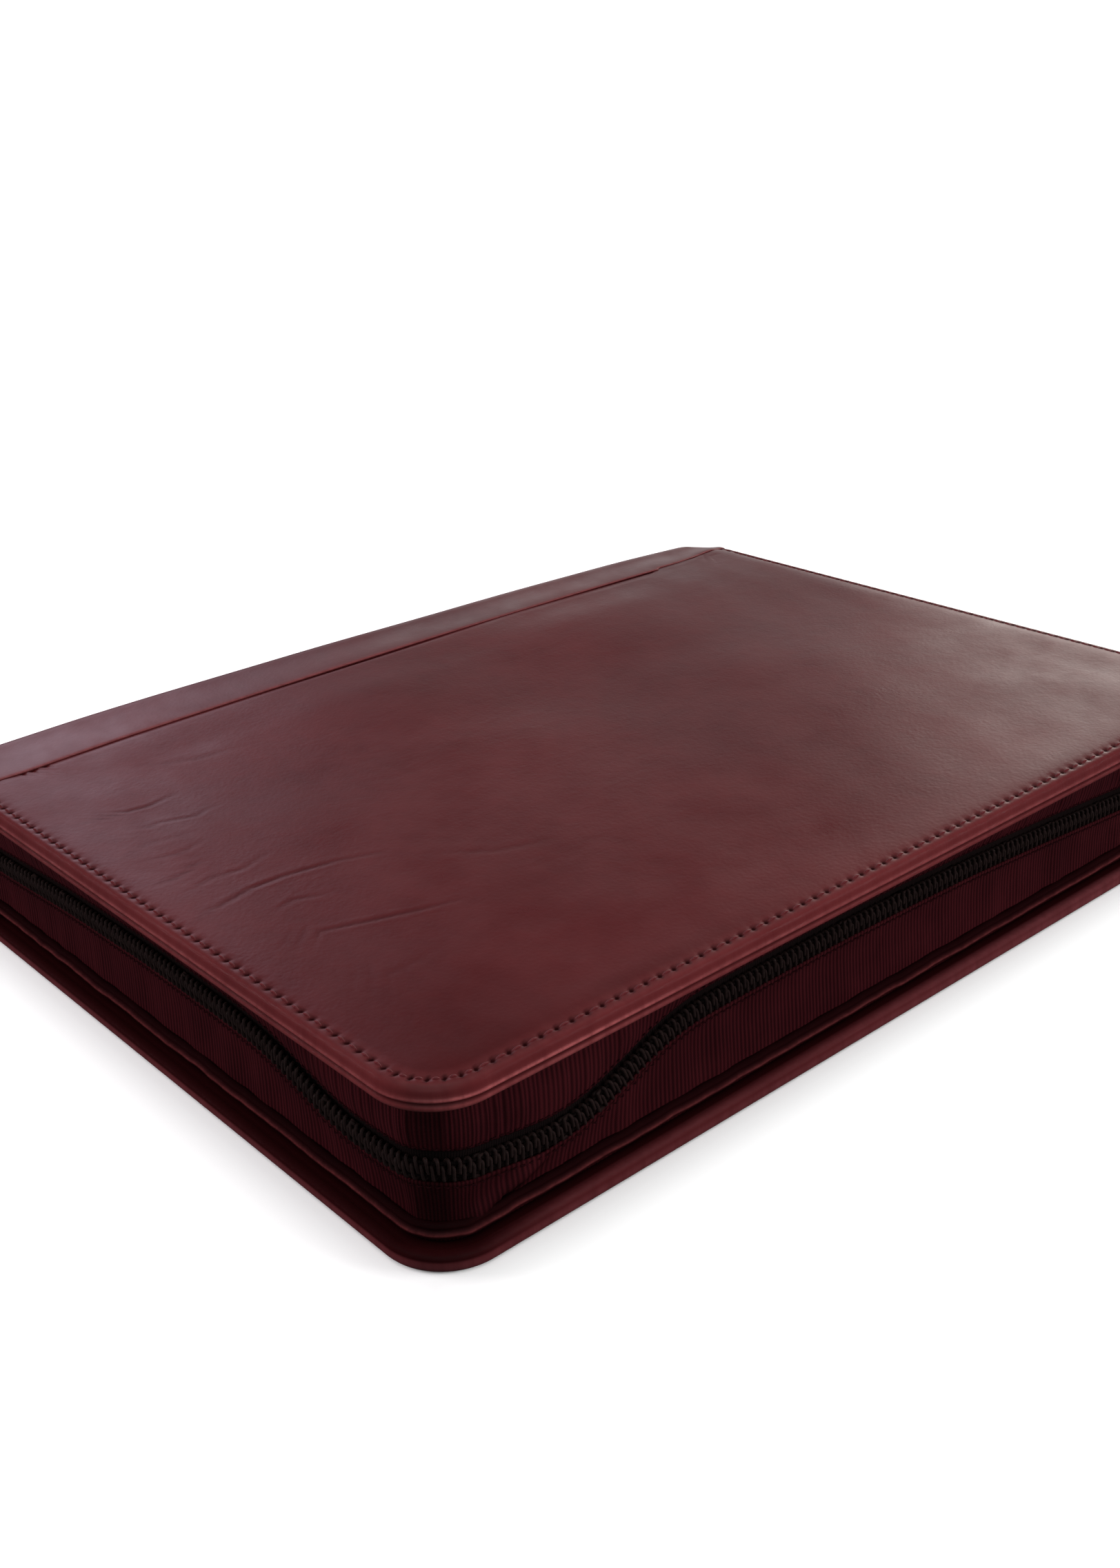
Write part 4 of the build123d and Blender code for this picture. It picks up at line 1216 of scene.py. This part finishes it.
def add_linings(cloth_look, foam_look):
    """Cloth over the inside of both covers and the spine, and the foam under the front leather."""
    for node, body, side, level in (("front_cover_lining", "cover", -1, CEILING),
                                    ("back_cover_lining", "base", 1, BRIM)):
        low, high = node_box(node)
        plan = Plan(low, high, (LINING_CORNER, LINING_CORNER, 3, 3), 3.0)
        hidden = high[2] - 0.05 if side < 0 else low[2] + 0.05
        face = level + 0.02 if side > 0 else level
        profile = [(0.2, hidden), (0.0, (hidden + face) / 2), (0.15, face - side * 0.25),
                   (0.6, face - side * 0.06), (2.0, face - side * 0.02)]
        cloth = panel(f"{node}_cloth", plan, profile, LINING_CORNER - 1, LINING_CORNER + 8,
                      lambda x, y, f=face, s=side: f - s * 0.05 + s * waves(x, y, 41, 6, 40, 120, 0.03),
                      cloth_look, body, outward=side)
        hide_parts(node)
    low, high = node_box("front_cover_foam")
    plan = Plan(low, high, (LINING_CORNER, LINING_CORNER, 4, 4), 4.0)
    profile = [(0.1, low[2] + 0.02), (0.0, low[2] + 0.5), (0.3, high[2] - 0.4), (1.2, high[2] - 0.05)]
    foam = panel("front_cover_foam_sheet", plan, profile, 13, 20,
                 lambda x, y: high[2] + waves(x, y, 43, 4, 60, 120, 0.02), foam_look, "cover")
    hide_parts("front_cover_foam")
    low, high = node_box("spine_lining")
    plan = Plan((low[1], low[2]), (high[1], high[2]), (1.5, 1.5, 1.5, 1.5), 3.0)

    def stand(points):
        """Stands a flat panel against the spine: its height counts towards the pages."""
        return np.column_stack([low[0] + points[:, 2], points[:, 0], points[:, 1]])

    profile = [(0.1, 0.05), (0.0, 0.3), (0.1, 0.6), (0.5, 0.76)]
    cloth = panel("spine_lining_cloth", plan, profile, 2, 4, 0.78, cloth_look, "spine", turn=stand)
    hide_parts("spine_lining")


def add_bridge(name, low, high, material):
    """A strip with rounded edges that joins an end patch to the spine's lining."""
    xs, ys, zs = zip(low, high)
    outline = [(xs[0], ys[0]), (xs[1], ys[0]), (xs[1], ys[1]), (xs[0], ys[1])]
    points = [(x, y, z) for z in zs for x, y in outline]
    faces = [(0, 1, 2, 3), (4, 5, 6, 7), (0, 1, 5, 4), (1, 2, 6, 5), (2, 3, 7, 6), (3, 0, 4, 7)]
    strip = mesh_object(name, points, faces, material, [(x + y, z) for x, y, z in points])
    face_outwards(strip)
    modifier = strip.modifiers.new("round", "BEVEL")
    modifier.width = 0.5 * MM
    modifier.segments = 3
    modifier.limit_method = "NONE"
    apply_modifiers(strip)
    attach(strip, "spine")


def add_end_patches(fabric_look):
    """Fabric that closes the two ends of the spine behind the zip's ends."""
    low, high = node_box("spine_end_patches")
    for word, side in (("front", -1), ("back", 1)):
        plan = Plan((low[0] + 3.4, low[2] + 0.3), (high[0], high[2] - 0.3), (1, 1, 1, 1), 1.5)
        outer = END - 5.5

        def stand(points, side=side, outer=outer):
            """Stands a flat panel across the end of the spine."""
            return np.column_stack([points[:, 0], side * (outer + points[:, 2]), points[:, 1]])

        profile = [(0.1, -1.15), (0.0, -0.8), (0.1, -0.3), (0.5, -0.05)]
        patch = panel(f"spine_end_patch_{word}", plan, profile, 1.2, 2.0,
                      lambda x, y: 0.08 * np.sin(y * 1.3), fabric_look, "spine", turn=stand)
        if side < 0:
            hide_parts("spine_end_patches")
        ends = sorted((side * (END - 16.7), side * (END - 5.6)))
        add_bridge(f"spine_end_bridge_{word}", (low[0] + 1.8, ends[0], low[2] + 0.2),
                   (low[0] + 3.5, ends[1], high[2] - 0.2), fabric_look)


def add_pocket(name, node, low, high, radius, side, material, thread_look, body):
    """A flat leather pocket sewn on a lining; side is -1 where it faces down from the front cover."""
    plan = Plan(low, high, (radius,) * 4, 1.5)
    face, back = (high[2], low[2]) if side > 0 else (low[2], high[2])
    profile = [(0.15, back + side * 0.02), (0.0, back + side * 0.3), (0.05, face - side * 0.35),
               (0.3, face - side * 0.1), (0.8, face), (1.6, face - side * 0.03), (2.4, face - side * 0.10),
               (3.2, face - side * 0.02)]
    wear_and_highlight = [0, 0, 0.3, 0.6, 0.5, 0.1, 0, 0]
    pocket = panel(name, plan, profile, max(radius, 4.0), max(radius, 4.0) + 5,
                   lambda x, y: face - side * 0.02 + side * waves(x, y, 51, 6, 30, 90, 0.05), material, body,
                   wear_and_highlight, [0, 0, 0, 0, 0, 0.2, 0.4, 0.1], (6, 2, 0.2, 1.0), outward=side)
    if node:
        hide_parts(node)
    thread = stitch_row(f"{name}_stitches", plan, 2.4, 2, face - side * 0.12, thread_look, body,
                        0.24, 0.2, side)


DOCUMENT_POCKET_FOOT = 42.1
SLOT_PITCH = 14
SLOT_LAYER, SLOT_THICK = 0.9, 0.95


def add_pockets(pocket_look, thread_look):
    """Document pocket, card slots and note pad pocket."""
    low, high = node_box("document_pocket")
    low[2] = DOCUMENT_POCKET_FOOT
    add_pocket("document_pocket_leather", "document_pocket", low, high, 6, -1,
               pocket_look, thread_look, "cover")
    low, high = node_box("note_pad_pocket")
    add_pocket("note_pad_pocket_leather", "note_pad_pocket", low, high, 6, 1,
               pocket_look, thread_look, "base")
    low, high = node_box("card_slots")
    for step in range(3):
        level = LIP - 1.0 - SLOT_LAYER * (2 - step)
        near = np.array([low[0], low[1] + SLOT_PITCH * step, level])
        far = np.array([high[0], high[1], level + SLOT_THICK])
        add_pocket(f"card_slot_{step + 1}", "card_slots" if step == 0 else None, near, far, 2.5, -1,
                   pocket_look, thread_look, "cover")


LOOP_RADIUS = 7.35
LOOP_RISE = 7.4
LOOP_FOOT = 6.8
LOOP_STEP, LOOP_BAND = 0.9, 0.85
LOOP_START, LOOP_SWEEP = 128, 284


def add_pen_loop(elastic_look):
    """Elastic loop for a pen, with its flat foot on the lining."""
    low, high = node_box("pen_loop")
    centre_x, centre_z = (low[0] + high[0]) / 2, low[2] + LOOP_RISE
    angles = np.radians(np.linspace(LOOP_START, LOOP_START + LOOP_SWEEP, 45))
    ring = [(centre_x + LOOP_RADIUS * math.cos(a), centre_z + LOOP_RADIUS * math.sin(a)) for a in angles]
    ring += [(centre_x + LOOP_FOOT, LIP - 0.05), (centre_x - LOOP_FOOT, LIP - 0.05)]
    ys = np.linspace(low[1], high[1], 25)
    points = [(x, y, min(z, LIP - 0.03)) for y in ys for x, z in ring]
    uv = [(y, k * LOOP_STEP) for y in ys for k in range(len(ring))]
    shell = mesh_object("pen_loop_elastic", points, grid_faces(len(ys), len(ring), closed=True),
                        elastic_look, uv)
    solid = shell.modifiers.new("band", "SOLIDIFY")
    solid.thickness = LOOP_BAND * MM
    solid.offset = -1
    apply_modifiers(shell)
    face_outwards(shell)
    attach(shell, "cover")
    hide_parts("pen_loop")


def finish_cad(looks):
    """Materials for the CAD nodes that stay as they are."""
    for node, look in looks.items():
        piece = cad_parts[node]
        piece.data.materials.clear()
        piece.data.materials.append(look)


def soften(nodes, width):
    """Rounded edges on hard CAD parts, as a modifier over the unchanged mesh."""
    for node in nodes:
        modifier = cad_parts[node].modifiers.new("edges", "BEVEL")
        modifier.width = width * MM
        modifier.segments = 2
        modifier.limit_method = "ANGLE"
        modifier.angle_limit = math.radians(40)


# ------------------------------------------------------------------ the scene

add_camera()
add_world()
add_floor()
add_lamps()

BURGUNDY = (0.052, 0.0060, 0.0072), (0.080, 0.0105, 0.0118), (0.25, 0.060, 0.062)
look = leather("burgundy_leather_finish", *BURGUNDY, 0.32)
base_look = leather("lower_cover_finish", (0.036, 0.0046, 0.0056), (0.054, 0.0074, 0.0086),
                    (0.15, 0.036, 0.042), 0.42)
wrap_look = leather("spine_wrap_finish", *BURGUNDY, 0.34, 0.75)
pocket_look = leather("pocket_leather_finish", (0.044, 0.007, 0.009), (0.070, 0.011, 0.013),
                      (0.20, 0.08, 0.08), 0.45)
thread_look = moulded("burgundy_thread", (0.062, 0.010, 0.012), (0.100, 0.018, 0.020), 0.42, 0.02,
                      shine_level=0.3)
seam_thread = moulded("gusset_thread", (0.008, 0.0014, 0.0022), (0.018, 0.0030, 0.0042), 0.6, 0.02,
                      shine_level=0.08)
welt_look = leather("welt_finish", (0.010, 0.0014, 0.0020), (0.019, 0.0028, 0.0036), (0.085, 0.017, 0.018),
                    0.55, 0.14)
fabric_look = ribbed_fabric("gusset_cloth", (0.011, 0.0016, 0.0024), (0.036, 0.0052, 0.0070), 1.4, 0.10, 0.60)
cloth_look = ribbed_fabric("lining_cloth", (0.030, 0.008, 0.010), (0.050, 0.014, 0.016),
                           0.7, 0.06, 0.7, False, 0.5)
tape_look = ribbed_fabric("zip_tape_cloth", (0.0030, 0.0019, 0.0019), (0.0062, 0.0036, 0.0036),
                          0.7, 0.08, 0.7)
coil_look = moulded("zip_coil_nylon", (0.0070, 0.0040, 0.0038), (0.0160, 0.0088, 0.0082), 0.38, 0.006,
                    shine_level=0.3)
elastic_look = ribbed_fabric("elastic_band", (0.010, 0.006, 0.007), (0.022, 0.015, 0.016), 0.9, 0.12, 0.65)
nickel_look = moulded("nickel_plate", (0.55, 0.53, 0.50), (0.68, 0.66, 0.62), 0.22, 0.004, 1.0, 300.0)
dark_look = moulded("dark_plated_metal", (0.07, 0.06, 0.055), (0.14, 0.12, 0.11), 0.30, 0.006, 1.0, 500.0)
board_look = moulded("grey_board_fibre", (0.22, 0.21, 0.19), (0.34, 0.33, 0.30), 0.85, 0.05, 0.0, 700.0)
foam_look = moulded("foam_cells", (0.55, 0.52, 0.44), (0.68, 0.65, 0.56), 0.9, 0.12, 0.0, 1500.0)

add_front_cover(look, thread_look)
add_back_cover(base_look, thread_look)
add_spine(wrap_look)
add_gussets(fabric_look)
add_welt(welt_look)
add_zip(coil_look, tape_look, seam_thread)
add_zip_tabs(look, thread_look)
add_linings(cloth_look, foam_look)
add_end_patches(fabric_look)
add_pockets(pocket_look, thread_look)
add_pen_loop(elastic_look)
nickel = ("ring_housing", "ring_rivets", "lever_brackets", "hinge_plate_lower", "hinge_plate_upper",
          "half_rings_lower", "half_rings_upper", "ring_lever_front", "ring_lever_back")
finish_cad({node: nickel_look for node in nickel})
finish_cad({node: board_look for node in ("front_cover_board", "back_cover_board", "spine_board")})
finish_cad({node: dark_look for node in ("zip_slider", "zip_pull")})
soften(("ring_lever_front", "ring_lever_back", "zip_slider", "zip_pull"), 0.25)

bpy.context.scene.view_settings.view_transform = "Standard"
